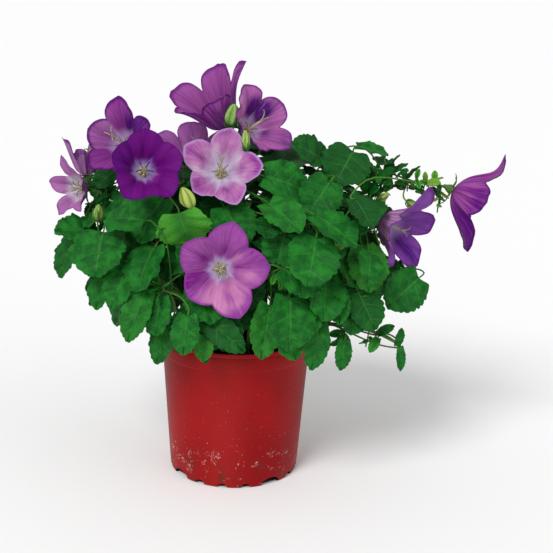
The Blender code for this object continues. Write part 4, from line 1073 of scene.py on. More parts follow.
def crown(bloom, low, low_radius, rim, rim_radius, tips):
    """Cup with five spikes round its rim. The tips' height and radius come last."""
    verts = []
    faces = [tuple(reversed(range(LOBES)))]
    for k in range(LOBES):
        verts.append(bloom_point(bloom, low, LOBE_ANGLE * (k + 0.5), low_radius))
    for k in range(LOBES):
        spike = LOBE_ANGLE * (k + 0.5)
        verts.append(bloom_point(bloom, rim, LOBE_ANGLE * k, rim_radius))
        verts.append(bloom_point(bloom, rim - CROWN_EDGE, spike, rim_radius * CROWN_OUTER))
        verts.append(bloom_point(bloom, rim, spike, rim_radius * CROWN_INNER))
        verts.append(bloom_point(bloom, tips[0], spike, tips[1]))
    floor = []
    for k in range(LOBES):
        k2 = (k + 1) % LOBES
        valley, outer, inner, tip = range(LOBES + 4 * k, LOBES + 4 * k + 4)
        next_valley = LOBES + 4 * k2
        faces += [(k, outer, valley), (k, next_valley, outer), (k, k2, next_valley)]
        faces += [(valley, outer, tip), (outer, next_valley, tip)]
        faces += [(next_valley, inner, tip), (inner, valley, tip)]
        floor += [valley, inner]
    faces.append(tuple(floor))
    return verts, faces


def pistil_parts(bloom):
    """Five stamens on a small foot, and a style that ends in a three-pointed stigma."""
    low = 0.5 * COROLLA_THICKNESS + GAP
    tips = (low + STAMEN_TIP[1], STAMEN_TIP[0])
    parts = [crown(bloom, low, STAMEN_FOOT_RADIUS, low + STAMEN_FOOT_HEIGHT, STAMEN_FOOT_RADIUS, tips)]
    stages = (
        (low + STYLE_SUNK_TO * STAMEN_FOOT_HEIGHT, STYLE_RADII[0]),
        (PISTIL_LENGTH, STYLE_RADII[1]),
        (PISTIL_LENGTH + STIGMA_REACH[1], STIGMA_REACH[0]),
    )
    verts = []
    for height, radius in stages:
        for k in range(3):
            verts.append(bloom_point(bloom, height, FULL_TURN * k / 3.0 + STIGMA_TURN, radius))
    verts.append(bloom_point(bloom, PISTIL_LENGTH + STIGMA_DOME, 0.0, 0.0))
    faces = [(2, 1, 0)]
    faces += ring_faces(0, 3, 3) + ring_faces(3, 6, 3)
    faces += [(6, 7, 9), (7, 8, 9), (8, 6, 9)]
    parts.append((verts, faces))
    return parts


def calyx(bloom):
    """Ovary under the bell with five sepals that spread behind it."""
    rim = -(0.5 * COROLLA_THICKNESS + GAP)
    tips = (rim + SEPAL_RISE, SEPAL_REACH)
    return crown(bloom, rim - CALYX_LENGTH, STEM_TIP_RADIUS, rim, CALYX_RADIUS, tips)


def bud_solid(bud):
    """Closed bud, widest near its foot."""
    path = [Vector(bud.base) + reach_of(bud) * share for share, width in BUD_SHAPE]
    return tube(path, [bud.radius * width for share, width in BUD_SHAPE], BUD_SIDES)


def bud_stalk_path(start, bud, steps, sunk):
    """From a stem to the foot of a bud, and this far on into it."""
    base = Vector(bud.base)
    ahead = unit(reach_of(bud))
    gap = (base - start).length
    share, _, back = STALK_BOW
    path = bezier_path(start, start + (base - start) * share, base - ahead * gap * back, base, steps)
    return path + [base + ahead * sunk]


def bud_stalk(start, bud, spare=0.0):
    path = bud_stalk_path(start, bud, BUD_STALK_STEPS, BUD_STALK_SUNK)
    radii = [STALK_ROOT_RADIUS + spare] + [STALK_RADIUS + spare] * (len(path) - 1)
    return tube(path, radii, len(STALK_ANGLES))


def turned_solid(profile, sides):
    """Solid turned round the Z axis. The profile starts and ends on the axis, going from bottom to top."""
    verts = [Vector((0.0, 0.0, profile[0][1])), Vector((0.0, 0.0, profile[-1][1]))]
    rings = []
    for radius, height in profile[1:-1]:
        rings.append(len(verts))
        for k in range(sides):
            turn = FULL_TURN * k / sides
            verts.append(Vector((radius * math.cos(turn), radius * math.sin(turn), height)))
    faces = []
    for k in range(sides):
        k2 = (k + 1) % sides
        faces.append((0, rings[0] + k2, rings[0] + k))
        for low, high in zip(rings, rings[1:]):
            faces.append((low + k, low + k2, high + k2, high + k))
        faces.append((1, rings[-1] + k, rings[-1] + k2))
    return verts, faces


def wall_radius(height):
    """Outer radius of the tapered wall under its band."""
    top = POT_RIM_RADIUS - BAND_STEP
    return POT_FOOT_RADIUS + (top - POT_FOOT_RADIUS) * height / POT_HEIGHT


def pot_profile():
    band = POT_HEIGHT - BAND_HEIGHT
    outside = [
        (0.0, 0.0),
        (POT_FOOT_RADIUS - FOOT_EDGE, 0.0),
        (POT_FOOT_RADIUS, FOOT_EDGE),
        (wall_radius(band), band),
        (wall_radius(band) + BAND_STEP, band + BAND_STEP),
        (POT_RIM_RADIUS, POT_HEIGHT),
    ]
    inside = [
        (POT_RIM_RADIUS - POT_WALL, POT_HEIGHT),
        (wall_radius(band) + BAND_STEP - POT_WALL, band + BAND_STEP),
        (wall_radius(band) - POT_WALL, band),
        (POT_FOOT_RADIUS - POT_WALL, POT_FLOOR),
        (0.0, POT_FLOOR),
    ]
    return outside + inside


def soil_profile():
    top = POT_HEIGHT - SOIL_BELOW_RIM
    floor = POT_FLOOR + GAP
    clear = POT_WALL + SOIL_SIDE_GAP
    rim = wall_radius(top) + BAND_STEP - clear
    band = POT_HEIGHT - BAND_HEIGHT
    return [
        (0.0, floor),
        (POT_FOOT_RADIUS - clear - SOIL_FOOT_ROUND[0], floor),
        (POT_FOOT_RADIUS - clear - 0.5, floor + SOIL_FOOT_ROUND[1]),
        (wall_radius(band) - clear, band - 1.0),
        (rim - BAND_STEP, top),
        (SOIL_CREST_AT * rim, top + SOIL_BUMP),
        (0.0, top + SOIL_MIDDLE_BUMP * SOIL_BUMP),
    ]


# Where everything grows


def stem_path(foot, tip, heading, lean):
    """From the bottom of the stem's hole straight up out of the soil, then over to the tip."""
    low = POT_HEIGHT - SOIL_BELOW_RIM
    start = Vector((foot[0], foot[1], low - HOLE_DEPTH + GAP))
    collar = Vector((foot[0], foot[1], low + STEM_COLLAR))
    span = (Vector(tip) - collar).length
    rise = collar + UP * span * STEM_RISE + lean
    back = Vector(tip) - unit(heading) * span * STEM_REACH_BACK + lean * 0.5
    return [start] + bezier_path(collar, rise, back, Vector(tip), STEM_STEPS)


def stem_radii(path):
    return taper(STEM_FOOT_RADIUS, STEM_TIP_RADIUS, len(path))


class Plant:
    """What has been placed so far, with a search tree for each part."""

    def __init__(self):
        self.trees = []
        self.covers = []
        self.paths = {}
        self.roots = []
        self.leaves = []
        self.buds = []
        self.sprigs = []
        self.tones = {}

    def add(self, node, solid, role):
        self.trees.append((node, role, tree_of(solid)))

    def blocked(self, solid, own_node=None, own_roles=()):
        """Whether a solid touches anything placed, apart from these roles of its own node."""
        tree = tree_of(solid)
        for node, role, other in self.trees:
            if node == own_node and role in own_roles:
                continue
            if tree.overlap(other):
                return True
        return False

    def hides_bloom(self, solid):
        """Whether a leaf stands in or right before a bloom's face."""
        tree = tree_of(solid)
        if any(tree.overlap(cover) for cover in self.covers):
            return True
        near, far = CLEAR_BEFORE_BLOOM
        for bloom in BLOOMS:
            axis = unit(bloom.facing)
            share = CLEAR_BESIDE_FRONT_AXIS if axis.y < FRONT_FACING else CLEAR_BESIDE_AXIS
            for vert in solid[0]:
                offset = vert - Vector(bloom.base)
                ahead = offset.dot(axis)
                aside = (offset - axis * ahead).length
                if near < ahead < far and aside < share * bloom.reach:
                    return True
        return False


def grow_blooms(plant):
    for number, bloom in enumerate(BLOOMS, 1):
        plant.add(f"bloom_{number:02d}_corolla", corolla(bloom), "corolla")
        for part in pistil_parts(bloom):
            plant.add(f"bloom_{number:02d}_heart", part, "heart")
        plant.covers.append(tree_of(mouth(bloom)))


def grow_stem(plant, node, tip, heading, foot):
    """A stem that leans aside until it is clear of what has been placed."""
    draw = random.Random(node)
    lean = Vector()
    for attempt in range(STEM_TRIES):
        path = stem_path(foot, tip, heading, lean)
        wide = tube(path, [radius + SPARE_ROOM for radius in stem_radii(path)], STEM_SIDES)
        if not plant.blocked(wide, node, ("calyx",)):
            break
        spread = STEM_LEAN[0] + STEM_LEAN[1] * attempt
        lean = scatter(draw, spread)
    plant.add(node, tube(path, stem_radii(path), STEM_SIDES), "stem")
    plant.paths[node] = path


def grow_stems(plant):
    for number, bloom in enumerate(BLOOMS, 1):
        node = f"stem_{number:02d}"
        plant.add(node, calyx(bloom), "calyx")
    for number, bloom in enumerate(BLOOMS, 1):
        axis = unit(bloom.facing)
        tip = Vector(bloom.base) - axis * (CALYX_LENGTH - STEM_IN_CALYX)
        grow_stem(plant, f"stem_{number:02d}", tip, axis, bloom.foot)
    for number, shoot in enumerate(SHOOTS, len(BLOOMS) + 1):
        grow_stem(plant, f"stem_{number:02d}", shoot.tip, shoot.heading, shoot.foot)


def roots_for(plant, base, ahead):
    """Points in the stems that a stalk could grow from, the likeliest first."""
    found = []
    for node, path in plant.paths.items():
        for i in range(2, len(path) - 1):
            for share in ROOT_SHARES:
                point = path[i].lerp(path[i + 1], share)
                gap = base - point
                taken = any((point - root).length < ROOT_SPACING for root in plant.roots)
                if taken or not STALK_REACH[0] < gap.length < STALK_REACH[1]:
                    continue
                backwards = max(0.0, -gap.normalized().dot(ahead))
                found.append((abs(gap.length - BEST_STALK) + BACKWARD_COST * backwards, node, point))
    found.sort(key=lambda root: root[0])
    return found


def outside_pot(solid):
    """Whether every point low enough to meet the pot is well outside its wall."""
    for vert in solid[0]:
        aside = math.hypot(vert.x, vert.y)
        if vert.z < POT_HEIGHT + POT_CLEARANCE and aside < POT_RIM_RADIUS + POT_CLEARANCE:
            return False
    return True


def jittered(leaf, draw, amount):
    """The leaf moved, turned and shrunk a little."""
    base = Vector(leaf.base)
    reach = reach_of(leaf)
    shift = scatter(draw, JITTER_SHIFT * amount)
    turn = Matrix.Rotation(draw.uniform(-JITTER_TURN, JITTER_TURN) * amount, 3, unit(leaf.facing))
    across_blade = unit(Vector(leaf.facing).cross(reach))
    tilt = Matrix.Rotation(draw.uniform(-JITTER_TILT, JITTER_TILT) * amount, 3, across_blade)
    size = 1.0 - JITTER_SHRINK * amount * draw.random()
    reach = (turn @ (tilt @ reach)) * size
    base += shift
    return Leaf(base, base + reach, leaf.width * size, tilt @ Vector(leaf.facing), leaf.teeth)


def grow_leaf(plant, leaf, draw, steadiness):
    """Place one leaf on the nearest stem, moving it aside until it is clear, or leave it out."""
    for attempt in range(LEAF_TRIES):
        amount = attempt / LEAF_TRIES / steadiness
        moved = jittered(leaf, draw, amount) if attempt else leaf
        wide = leaf_solid(moved, spare=SPARE_ROOM)
        if not outside_pot(wide) or plant.blocked(wide) or plant.hides_bloom(wide):
            continue
        ahead = unit(reach_of(moved))
        for _, node, start in roots_for(plant, Vector(moved.base), ahead)[:STALK_CHOICES]:
            path = stalk_path(start, moved)
            stalk = tube(path, [STALK_RADIUS + 0.5 * SPARE_ROOM] * len(path), len(STALK_ANGLES))
            if plant.blocked(stalk, node, ("stem",)) or plant.hides_bloom(stalk):
                continue
            solid = leaf_solid(moved, start)
            if crosses_itself(solid):
                continue
            plant.add(node, solid, "leaf")
            plant.roots.append(start)
            plant.leaves.append((node, moved, start))
            return


def grow_bud(plant, bud):
    """Place one bud at the end of a stalk of its own, on the nearest stem with a clear way to it."""
    ahead = unit(reach_of(bud))
    for _, node, start in roots_for(plant, Vector(bud.base), ahead):
        if not plant.blocked(bud_stalk(start, bud, 0.5 * SPARE_ROOM), node, ("stem",)):
            plant.add(node, bud_stalk(start, bud), "stalk")
            plant.add(node, bud_solid(bud), "bud")
            plant.roots.append(start)
            plant.buds.append((node, bud, start))
            return


def scatter(draw, reach):
    return Vector([draw.uniform(-reach, reach) for axis in range(3)])


def bush_leaf(index, count, shell, draw):
    """Leaf number index of a spiral over the bush's outline, its face turned out and up."""
    height = 1.0 - (1.0 - BUSH_LOWEST) * (index + 0.5) / count
    turn = index * GOLDEN_ANGLE + shell
    ring = math.sqrt(1.0 - height * height)
    direction = Vector((ring * math.cos(turn), ring * math.sin(turn), height))
    reach = shell * draw.uniform(*SHELL_REACH)
    middle = BUSH_CENTRE + Vector([d * r * reach for d, r in zip(direction, BUSH_RADII)])
    outward = unit([d / r for d, r in zip(direction, BUSH_RADII)])
    facing = unit(outward * FACE_OUT + UP * FACE_UP + scatter(draw, FACE_SCATTER))
    ahead = across(outward * AHEAD_OUT - UP + scatter(draw, AHEAD_SCATTER), facing)
    length = draw.uniform(*LEAF_LENGTHS)
    base = middle - ahead * BLADE_MIDDLE * length
    width = length * draw.uniform(*LEAF_WIDTH_SHARES)
    return Leaf(base, base + ahead * length, width, facing, SMALL_LEAF_TEETH)


def grow_leaves(plant):
    """The leaves that stand out first, then the rest of the bush from outside in."""
    for number, leaf in enumerate(FRONT_LEAVES):
        grow_leaf(plant, leaf, random.Random(number), FRONT_STEADINESS)
    for shell, count, seed in ((1.0, OUTER_LEAVES, OUTER_SEED), (INNER_SHELL, INNER_LEAVES, INNER_SEED)):
        for index in range(count):
            draw = random.Random(seed + index)
            grow_leaf(plant, bush_leaf(index, count, shell, draw), draw, 1.0)


def grow_plant():
    """The whole plant in its pot, every node clear of every other."""
    plant = Plant()
    plant.trees.append(("pot", "pot", tree_of(turned_solid(pot_profile(), POT_SIDES))))
    grow_blooms(plant)
    grow_stems(plant)
    for bud in BUDS:
        grow_bud(plant, bud)
    grow_leaves(plant)
    return plant


# Finer shapes that take the places of the solids


class Shape:
    """Points, faces and values of one piece, gathered from its parts."""

    def __init__(self, value_names=()):
        self.verts = []
        self.faces = []
        self.skins = []
        self.values = {name: [] for name in value_names}

    def add(self, verts, faces, skin=0, **values):
        first = len(self.verts)
        self.verts.extend(verts)
        self.faces.extend(tuple(i + first for i in face) for face in faces)
        self.skins.extend([skin] * len(faces))
        for name, column in self.values.items():
            given = values.get(name, 0.0)
            column.extend(given if isinstance(given, list) else [given] * len(verts))

    def make(self, name, surfaces, nodes):
        """The piece itself, in the place of these nodes."""
        mesh = bpy.data.meshes.new(name)
        mesh.from_pydata([vert * MM for vert in self.verts], [], self.faces)
        for value_name, column in self.values.items():
            layer = mesh.attributes.new(value_name, "FLOAT", "POINT")
            layer.data.foreach_set("value", column)
        for surface in surfaces:
            mesh.materials.append(surface)
        mesh.polygons.foreach_set("material_index", self.skins)
        mesh.shade_smooth()
        mesh.set_sharp_from_angle(angle=math.radians(SMOOTH_ANGLE))
        piece = bpy.data.objects.new(name, mesh)
        bpy.context.scene.collection.objects.link(piece)
        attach(piece, "root")
        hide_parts(*nodes)


def fine_edge(leaf, s):
    """Edge of the finely toothed blade, s of the way from the notch at its stalk to its tip."""
    along = 0.5 * (1.0 - TIP_STRETCH) * (1.0 - math.cos(math.pi * s)) + TIP_STRETCH * s**TIP_POWER
    along -= BASE_LOBE * peak(s - BASE_LOBE_AT, BASE_LOBE_SPREAD)
    out = HALF_WIDTH * max(0.0, math.sin(math.pi * s**WIDEST_SHIFT))
    phase = math.pi * s * (leaf.teeth + 0.5)
    small = abs(math.sin(2.0 * phase)) ** TOOTH_ROUNDNESS
    tooth = LARGE_TOOTH_SHARE * math.sin(phase) ** 2 + (1.0 - LARGE_TOOTH_SHARE) * small
    return along + TOOTH_FORWARD * tooth, out * (1.0 + TOOTH_OUT * tooth)


def fine_blade(shape, leaf, tone):
    """Blade with crenate teeth, sunk veins and puckered skin between them."""
    ahead, side, face = leaf_axes(leaf)
    length = reach_of(leaf).length
    size = min(1.0, length / SMALL_LEAF)
    # A leaf that is wider than it is long lies flatter than the others
    relief = min(1.0, max(FLAT_RELIEF, (length / leaf.width - KIDNEY_SHAPE) / KIDNEY_SPAN))
    large = length > SMALL_LEAF
    blade_steps = BLADE_STEPS if large else SMALL_BLADE_STEPS
    corners = 2 * leaf.teeth + 1
    steps = (LEAF_FINENESS if large else SMALL_LEAF_FINENESS) * corners
    verts = []
    values = []
    thicknesses = []

    def put(along, out, s, t, hand):
        """Add the point s of the way round the blade and t of the way from its midrib to its edge."""
        vein = 0.5 * s * corners
        fold = math.sqrt(out * out + FOLD_ROUND * FOLD_ROUND) - FOLD_ROUND
        height = LEAF_ARCH * length * (along - along * along) + relief * LEAF_FOLD * leaf.width * fold
        height += relief * LEAF_WAVE * leaf.width * math.sin(WAVE_TURN * corners * s + hand) * t * t
        height += relief * PUCKER * size * math.cos(math.pi * vein) ** 2 * math.sin(math.pi * t)
        height -= RIB_SINK * size * peak(t, RIB_WIDTH)
        place = Vector(leaf.base) + ahead * along * length
        verts.append(place + side * hand * out * leaf.width + face * height)
        values.append((vein, t, along * length, hand * out * leaf.width))
        rib = RIB_THICKNESS * size * peak(t, RIB_WIDTH) * (1.0 - RIB_THINNING * max(along, 0.0))
        thicknesses.append(BLADE_EDGE_THICKNESS + rib)

    rows = [FIRST_STEP + (LAST_STEP - FIRST_STEP) * i / steps for i in range(steps + 1)]
    edges = [fine_edge(leaf, s) for s in rows]
    feet = [max(RIB_START * (i + 1) / steps, along - VEIN_LEAN * out) for i, (along, out) in enumerate(edges)]
    for foot, s in zip(feet, rows):
        put(foot, 0.0, s, 0.0, 1)
    put(1.0, 0.0, 1.0, 0.0, 1)
    tip = len(verts) - 1
    faces = []
    for hand in (1, -1):
        first = len(verts)
        for foot, s, (along, out) in zip(feet, rows, edges):
            for j in range(1, blade_steps + 1):
                t = j / blade_steps
                put(foot + (along - foot) * t, out * t, s, t, hand)

        def at(i, j):
            return i if j == 0 else first + i * blade_steps + j - 1

        corner_rows = []
        for i in range(steps):
            for j in range(blade_steps):
                corner_rows.append((at(i, j), at(i, j + 1), at(i + 1, j + 1), at(i + 1, j)))
        for j in range(blade_steps):
            corner_rows.append((at(steps, j), at(steps, j + 1), tip))
        faces += [row if hand > 0 else row[::-1] for row in corner_rows]
    columns = {name: list(column) * 2 for name, column in zip(LEAFY_VALUES, zip(*values))}
    under = [0.0] * len(verts) + [1.0] * len(verts)
    shape.add(*thicken(verts, faces, thicknesses), skin=1, under=under, tone=tone, **columns)


def fine_stalk(shape, start, leaf, tone):
    """Smooth stalk that thickens where it leaves the stem, and narrows in the blade."""
    path = smooth_path(stalk_path(start, leaf), STALK_SMOOTH)
    path.append(Vector(leaf.base) + leaf_axes(leaf)[0] * STALK_SUNK)
    last = len(path) - 1
    swells = [STALK_FOOT_SWELL * peak(i / last, STALK_FOOT_SHARE) for i in range(last + 1)]
    radii = [FINE_STALK_RADIUS * (1.0 + swell) for swell in swells]
    radii[-1] *= STALK_END_SHARE
    shape.add(*tube(path, radii, FINE_STALK_SIDES), skin=0, tone=tone)


def smooth_path(points, steps):
    """Smooth curve through the points."""
    path = []
    for i in range(len(points) - 1):
        a = points[max(i - 1, 0)]
        b = points[i]
        c = points[i + 1]
        d = points[min(i + 2, len(points) - 1)]
        for k in range(steps):
            t = k / steps
            curve = (2.0 * a - 5.0 * b + 4.0 * c - d) * t**2 + (3.0 * b - a - 3.0 * c + d) * t**3
            path.append(0.5 * (2.0 * b + (c - a) * t + curve))
    path.append(points[-1].copy())
    return path


def fine_stem(shape, path, tone):
    """Stem that tapers from the soil to its tip."""
    smooth = smooth_path(path, STEM_SMOOTH)
    radii = [radius * FINE_STEM_SHARE for radius in stem_radii(smooth)]
    shape.add(*tube(smooth, radii, FINE_STEM_SIDES), skin=0, tone=tone)


def fine_petal_point(bloom, angle, share, seed):
    """Point of the finer bell, with creased lobes whose edges are waved and pass over each other."""
    lobe, offset = lobe_offset(angle)
    far = smooth_step((share - LOBE_FREE_FROM) / (1.0 - LOBE_FREE_FROM))
    length = fine_petal_length(bloom, angle) * share
    turn = angle + LOBE_ANGLE * LOBE_OVERLAP * far * math.sin(math.pi * offset)
    radius, height, slope = petal_curve(bloom, lip_slope(bloom, angle), length)
    outward = LOBE_PASS * far * offset * (1.0 - offset * offset)
    outward += LOBE_KEEL * peak(offset, KEEL_WIDTH) * smooth_step(share * KEEL_RISE) * (1.0 - KEEL_FADE * far)
    outward -= LOBE_BULGE * math.sin(math.pi * offset) ** 2 * smooth_step(share * BULGE_RISE)
    ripple = 0.0
    for strength, waves, step in EDGE_WAVES:
        ripple += strength * math.sin(waves * math.pi * offset + step * lobe + seed)
    outward += EDGE_RIPPLE * ripple * far * far * (1.0 - offset**4)
    radius += outward * math.cos(slope)
    height -= outward * math.sin(slope)
    return bloom_point(bloom, height, turn, radius), length


def fine_petal_length(bloom, angle):
    """The plain petal's length, with a small point at the middle of each lobe."""
    lobe, offset = lobe_offset(angle)
    tip = LOBE_TIP * max(0.0, 1.0 - abs(offset) / LOBE_TIP_WIDTH) ** 2
    return petal_length(bloom, angle) + bloom.reach * (1.0 - bloom.cut) * bloom.spans[lobe % LOBES] * tip


def petal_tint_and_shade(paint, angle, share):
    """How light (towards 1) or deep (towards -1) the petal is here: its own tints with painted shade and
    highlight.
    """
    lobe, offset = lobe_offset(angle)
    # Each lobe's tint and each patch are partly the petal's own colour and partly painted shade and highlight
    middle, tilt = paint.lobes[lobe % LOBES]
    tint = (middle + tilt * offset) * smooth_step(share / TINT_AND_SHADE_FROM)
    for turn, reach, wide, deep, strength in paint.patches:
        apart = (lobe + 0.5 * offset - turn + 0.5 * LOBES) % LOBES - 0.5 * LOBES
        tint += strength * peak(apart, wide) * peak(share - reach, deep)
    return tint


def fine_corolla(shape, bloom, paint, seed):
    """Thin bell with the values that its skin is coloured by."""
    columns = LOBES * FINE_COLUMNS
    verts = [Vector(bloom.base)]
    values = [(0.0,) * (len(PETAL_VALUES) - 1)]
    thicknesses = [PETAL_THICKNESS]
    for row in range(FINE_ROWS + 1):
        share = (row / FINE_ROWS) ** ROW_CROWDING
        for k in range(columns):
            angle = FULL_TURN * k / columns
            point, length = fine_petal_point(bloom, angle, share, seed)
            lobe, offset = lobe_offset(angle)
            verts.append(point)
            tint = petal_tint_and_shade(paint, angle, share)
            values.append((length / bloom.reach, share, offset, float(lobe % LOBES), tint))
            thicknesses.append(PETAL_THICKNESS * (1.0 - PETAL_THINNING * share))
    solid = thicken(verts, bell_faces(columns, FINE_ROWS), thicknesses)
    columns = {name: list(column) * 2 for name, column in zip(PETAL_VALUES, zip(*values))}
    shape.add(*solid, under=[0.0] * len(verts) + [1.0] * len(verts), **columns)


def curved_rod(shape, bloom, stations, turn, thickness, sides, skin, lean=Vector()):
    """Rod beside a bloom's axis through (height, radius) stations, from one thickness to another."""
    points = []
    for height, radius in stations:
        points.append(bloom_point(bloom, height, turn, radius) + lean * (height / PISTIL_LENGTH) ** 2)
    path = smooth_path(points, ROD_SMOOTH)
    shape.add(*tube(path, taper(*thickness, len(path)), sides), skin=skin)


def fine_heart(shape, bloom, paint):
    """Leaning style with a three-lobed stigma, and five withered stamens on broad feet."""
    turn = math.radians(paint.style_turn)
    size = paint.style_size
    lean = (bloom_point(bloom, 0.0, turn, STYLE_LEAN) - Vector(bloom.base)) * size
    style = [(height * size, radius * size) for height, radius in STYLE_CURVE]
    stigma = [(height * size, radius * size) for height, radius in STIGMA_CURVE]
    curved_rod(shape, bloom, style, turn, STYLE_THICKNESS, STYLE_SIDES, 0, lean)
    for offset in STIGMA_TURNS:
        curved_rod(shape, bloom, stigma, turn + offset, STIGMA_THICKNESS, ROD_SIDES, 1, lean)
    for k in range(LOBES):
        turn = LOBE_ANGLE * (k + 0.5)
        curved_rod(shape, bloom, STAMEN_FOOT_CURVE, turn, STAMEN_FOOT_THICKNESS, ROD_SIDES, 0)
        curved_rod(shape, bloom, ANTHER_CURVE, turn, ANTHER_THICKNESS, ROD_SIDES, 2)


def ribbed_body(shape, rings, middle_of, ribs, depth, skin, tone):
    """Closed round body with ribs along it. Each ring comes as its radius and its height's share."""
    sides = CALYX_SIDES
    verts = []
    for share, radius in rings:
        ridged = depth * math.sin(math.pi * share)
        for k in range(sides):
            turn = FULL_TURN * k / sides
            verts.append(middle_of(share, turn, radius * (1.0 + ridged * math.cos(ribs * turn))))
    last = len(verts) - sides
    faces = [tuple(reversed(range(sides))), tuple(range(last, last + sides))]
    for low in range(0, last, sides):
        faces += ring_faces(low, low + sides, sides)
    spread = [share for share, radius in rings for k in range(sides)]
    vein = [math.cos(ribs * FULL_TURN * k / sides) for k in range(sides)] * len(rings)
    shape.add(verts, faces, skin=skin, tone=tone, spread=spread, vein=vein)


def fine_calyx(shape, bloom, tone):
    """Ribbed ovary with five narrow sepals that spread and bend back."""
    rim = -(0.5 * COROLLA_THICKNESS + GAP)
    rings = []
    for i in range(CALYX_RINGS):
        share = i / (CALYX_RINGS - 1)
        swell = smooth_step(share * CALYX_FULLNESS)
        rings.append((share, STEM_TIP_RADIUS + (CALYX_RADIUS - STEM_TIP_RADIUS) * swell))

    def point(share, turn, radius):
        return bloom_point(bloom, rim - CALYX_LENGTH * (1.0 - share), turn, radius)

    ribbed_body(shape, rings, point, CALYX_RIBS, RIB_SHARE, 2, tone)
    for k in range(LOBES):
        turn = LOBE_ANGLE * (k + 0.5)
        points = [bloom_point(bloom, height, turn, radius) for height, radius in SEPAL_CURVE]
        narrow_blade(shape, points, unit(bloom.facing), SEPAL_WIDTH, tone)


def narrow_blade(shape, points, normal, width, tone):
    """Thin pointed blade along a curve, such as a sepal, with a shallow gutter down its middle."""
    path = smooth_path(points, BLADE_SMOOTH)
    last = len(path) - 1
    count = len(BLADE_PLACES)
    verts = []
    for i, point in enumerate(path):
        ahead = way_at(path, i)
        side = ahead.cross(normal).normalized()
        share = i / last
        broad = BLADE_FOOT_SHARE + BLADE_SWELL * share
        half = 0.5 * width * (1.0 - share**BLADE_TAPER) * broad + BLADE_POINT
        up = across(normal, ahead)
        for place in BLADE_PLACES:
            verts.append(point + side * half * place + up * BLADE_GUTTER * width * place * place)
    faces = []
    for i in range(last):
        for a in range(i * count, i * count + count - 1):
            faces.append((a, a + 1, a + 1 + count, a + count))
    shape.add(*thicken(verts, faces, [SEPAL_THICKNESS] * len(verts)), skin=2, tone=tone, spread=0.5)


def fine_bud(shape, start, bud, look, tone):
    """Ribbed bud, most often in its sepals, at the end of a stalk."""
    base = Vector(bud.base)
    reach = reach_of(bud)
    ahead = unit(reach)
    girth = bud.radius * look.girth
    path = bud_stalk_path(start, bud, FINE_BUD_STALK_STEPS, FINE_BUD_STALK_SUNK)
    shape.add(*tube(path, [FINE_STALK_RADIUS] * len(path), FINE_STALK_SIDES), skin=0, tone=tone)
    first = across(UP, ahead)
    second = ahead.cross(first)
    rings = []
    for i in range(BUD_RINGS + 1):
        share = i / BUD_RINGS
        swell = math.sin(math.pi * share**BUD_FULLNESS * BUD_CLOSED_AT) ** BUD_BLUNTNESS
        rings.append((share, girth * swell + BUD_POINT))

    def point(share, turn, radius):
        return base + reach * share + around(first, second, turn + BUD_TWIST * share) * radius

    ribbed_body(shape, rings, point, LOBES, BUD_RIBS, 3, look.ripe)
    for k in range(LOBES if look.sepals > 0.0 else 0):
        out = around(first, second, LOBE_ANGLE * k + BUD_SEPAL_TURN)
        points = []
        for share, wide in BUD_SEPAL_CURVE:
            points.append(base + reach * share * look.sepals + out * bud.radius * look.girth * wide)
        narrow_blade(shape, points, out, BUD_SEPAL_SHARE * bud.radius, tone)


# Pot and soil


def fine_pot_profile():
    """Radius and height round the wall, from the middle of the underside to the middle of the floor."""
    band = POT_HEIGHT - BAND_HEIGHT
    points = [(0.0, 0.0), (0.5 * POT_FOOT_RADIUS, 0.0), (POT_FOOT_RADIUS - FOOT_EDGE, 0.0)]
    for i in range(1, FOOT_EDGE_STEPS + 1):
        turn = 0.5 * math.pi * i / FOOT_EDGE_STEPS
        radius = POT_FOOT_RADIUS - FOOT_EDGE * (1.0 - math.sin(turn))
        points.append((radius, FOOT_EDGE * (1.0 - math.cos(turn))))
    rise = FOOT_EDGE
    while rise < band - WALL_STEP:
        rise += WALL_STEP
        points.append((wall_radius(rise), rise))
    for rise, share in BAND_CURVE:
        height = band + rise * BAND_STEP
        points.append((wall_radius(height) + BAND_STEP * share, height))
    for rise, depth in GROOVE_CURVE:
        height = POT_HEIGHT - GROOVE_BELOW_RIM + rise
        points.append((wall_radius(height) + BAND_STEP - depth, height))
    lip = 0.5 * POT_WALL
    for i in range(LIP_STEPS + 1):
        turn = math.pi * i / LIP_STEPS
        points.append((POT_RIM_RADIUS - lip + lip * math.cos(turn), POT_HEIGHT - lip + lip * math.sin(turn)))
    for drop in INSIDE_STEPS:
        points.append((POT_RIM_RADIUS - POT_WALL - drop * INSIDE_TAPER, POT_HEIGHT - drop))
    points += [
        (wall_radius(band) + BAND_STEP - POT_WALL, band + BAND_STEP),
        (wall_radius(band) - POT_WALL, band),
        (wall_radius(0.5 * band) - POT_WALL, 0.5 * band),
        (POT_FOOT_RADIUS - POT_WALL, POT_FLOOR + INSIDE_FOOT_EDGE),
        (POT_FOOT_RADIUS - POT_WALL - INSIDE_FOOT_EDGE, POT_FLOOR),
        (0.0, POT_FLOOR),
    ]
    return points


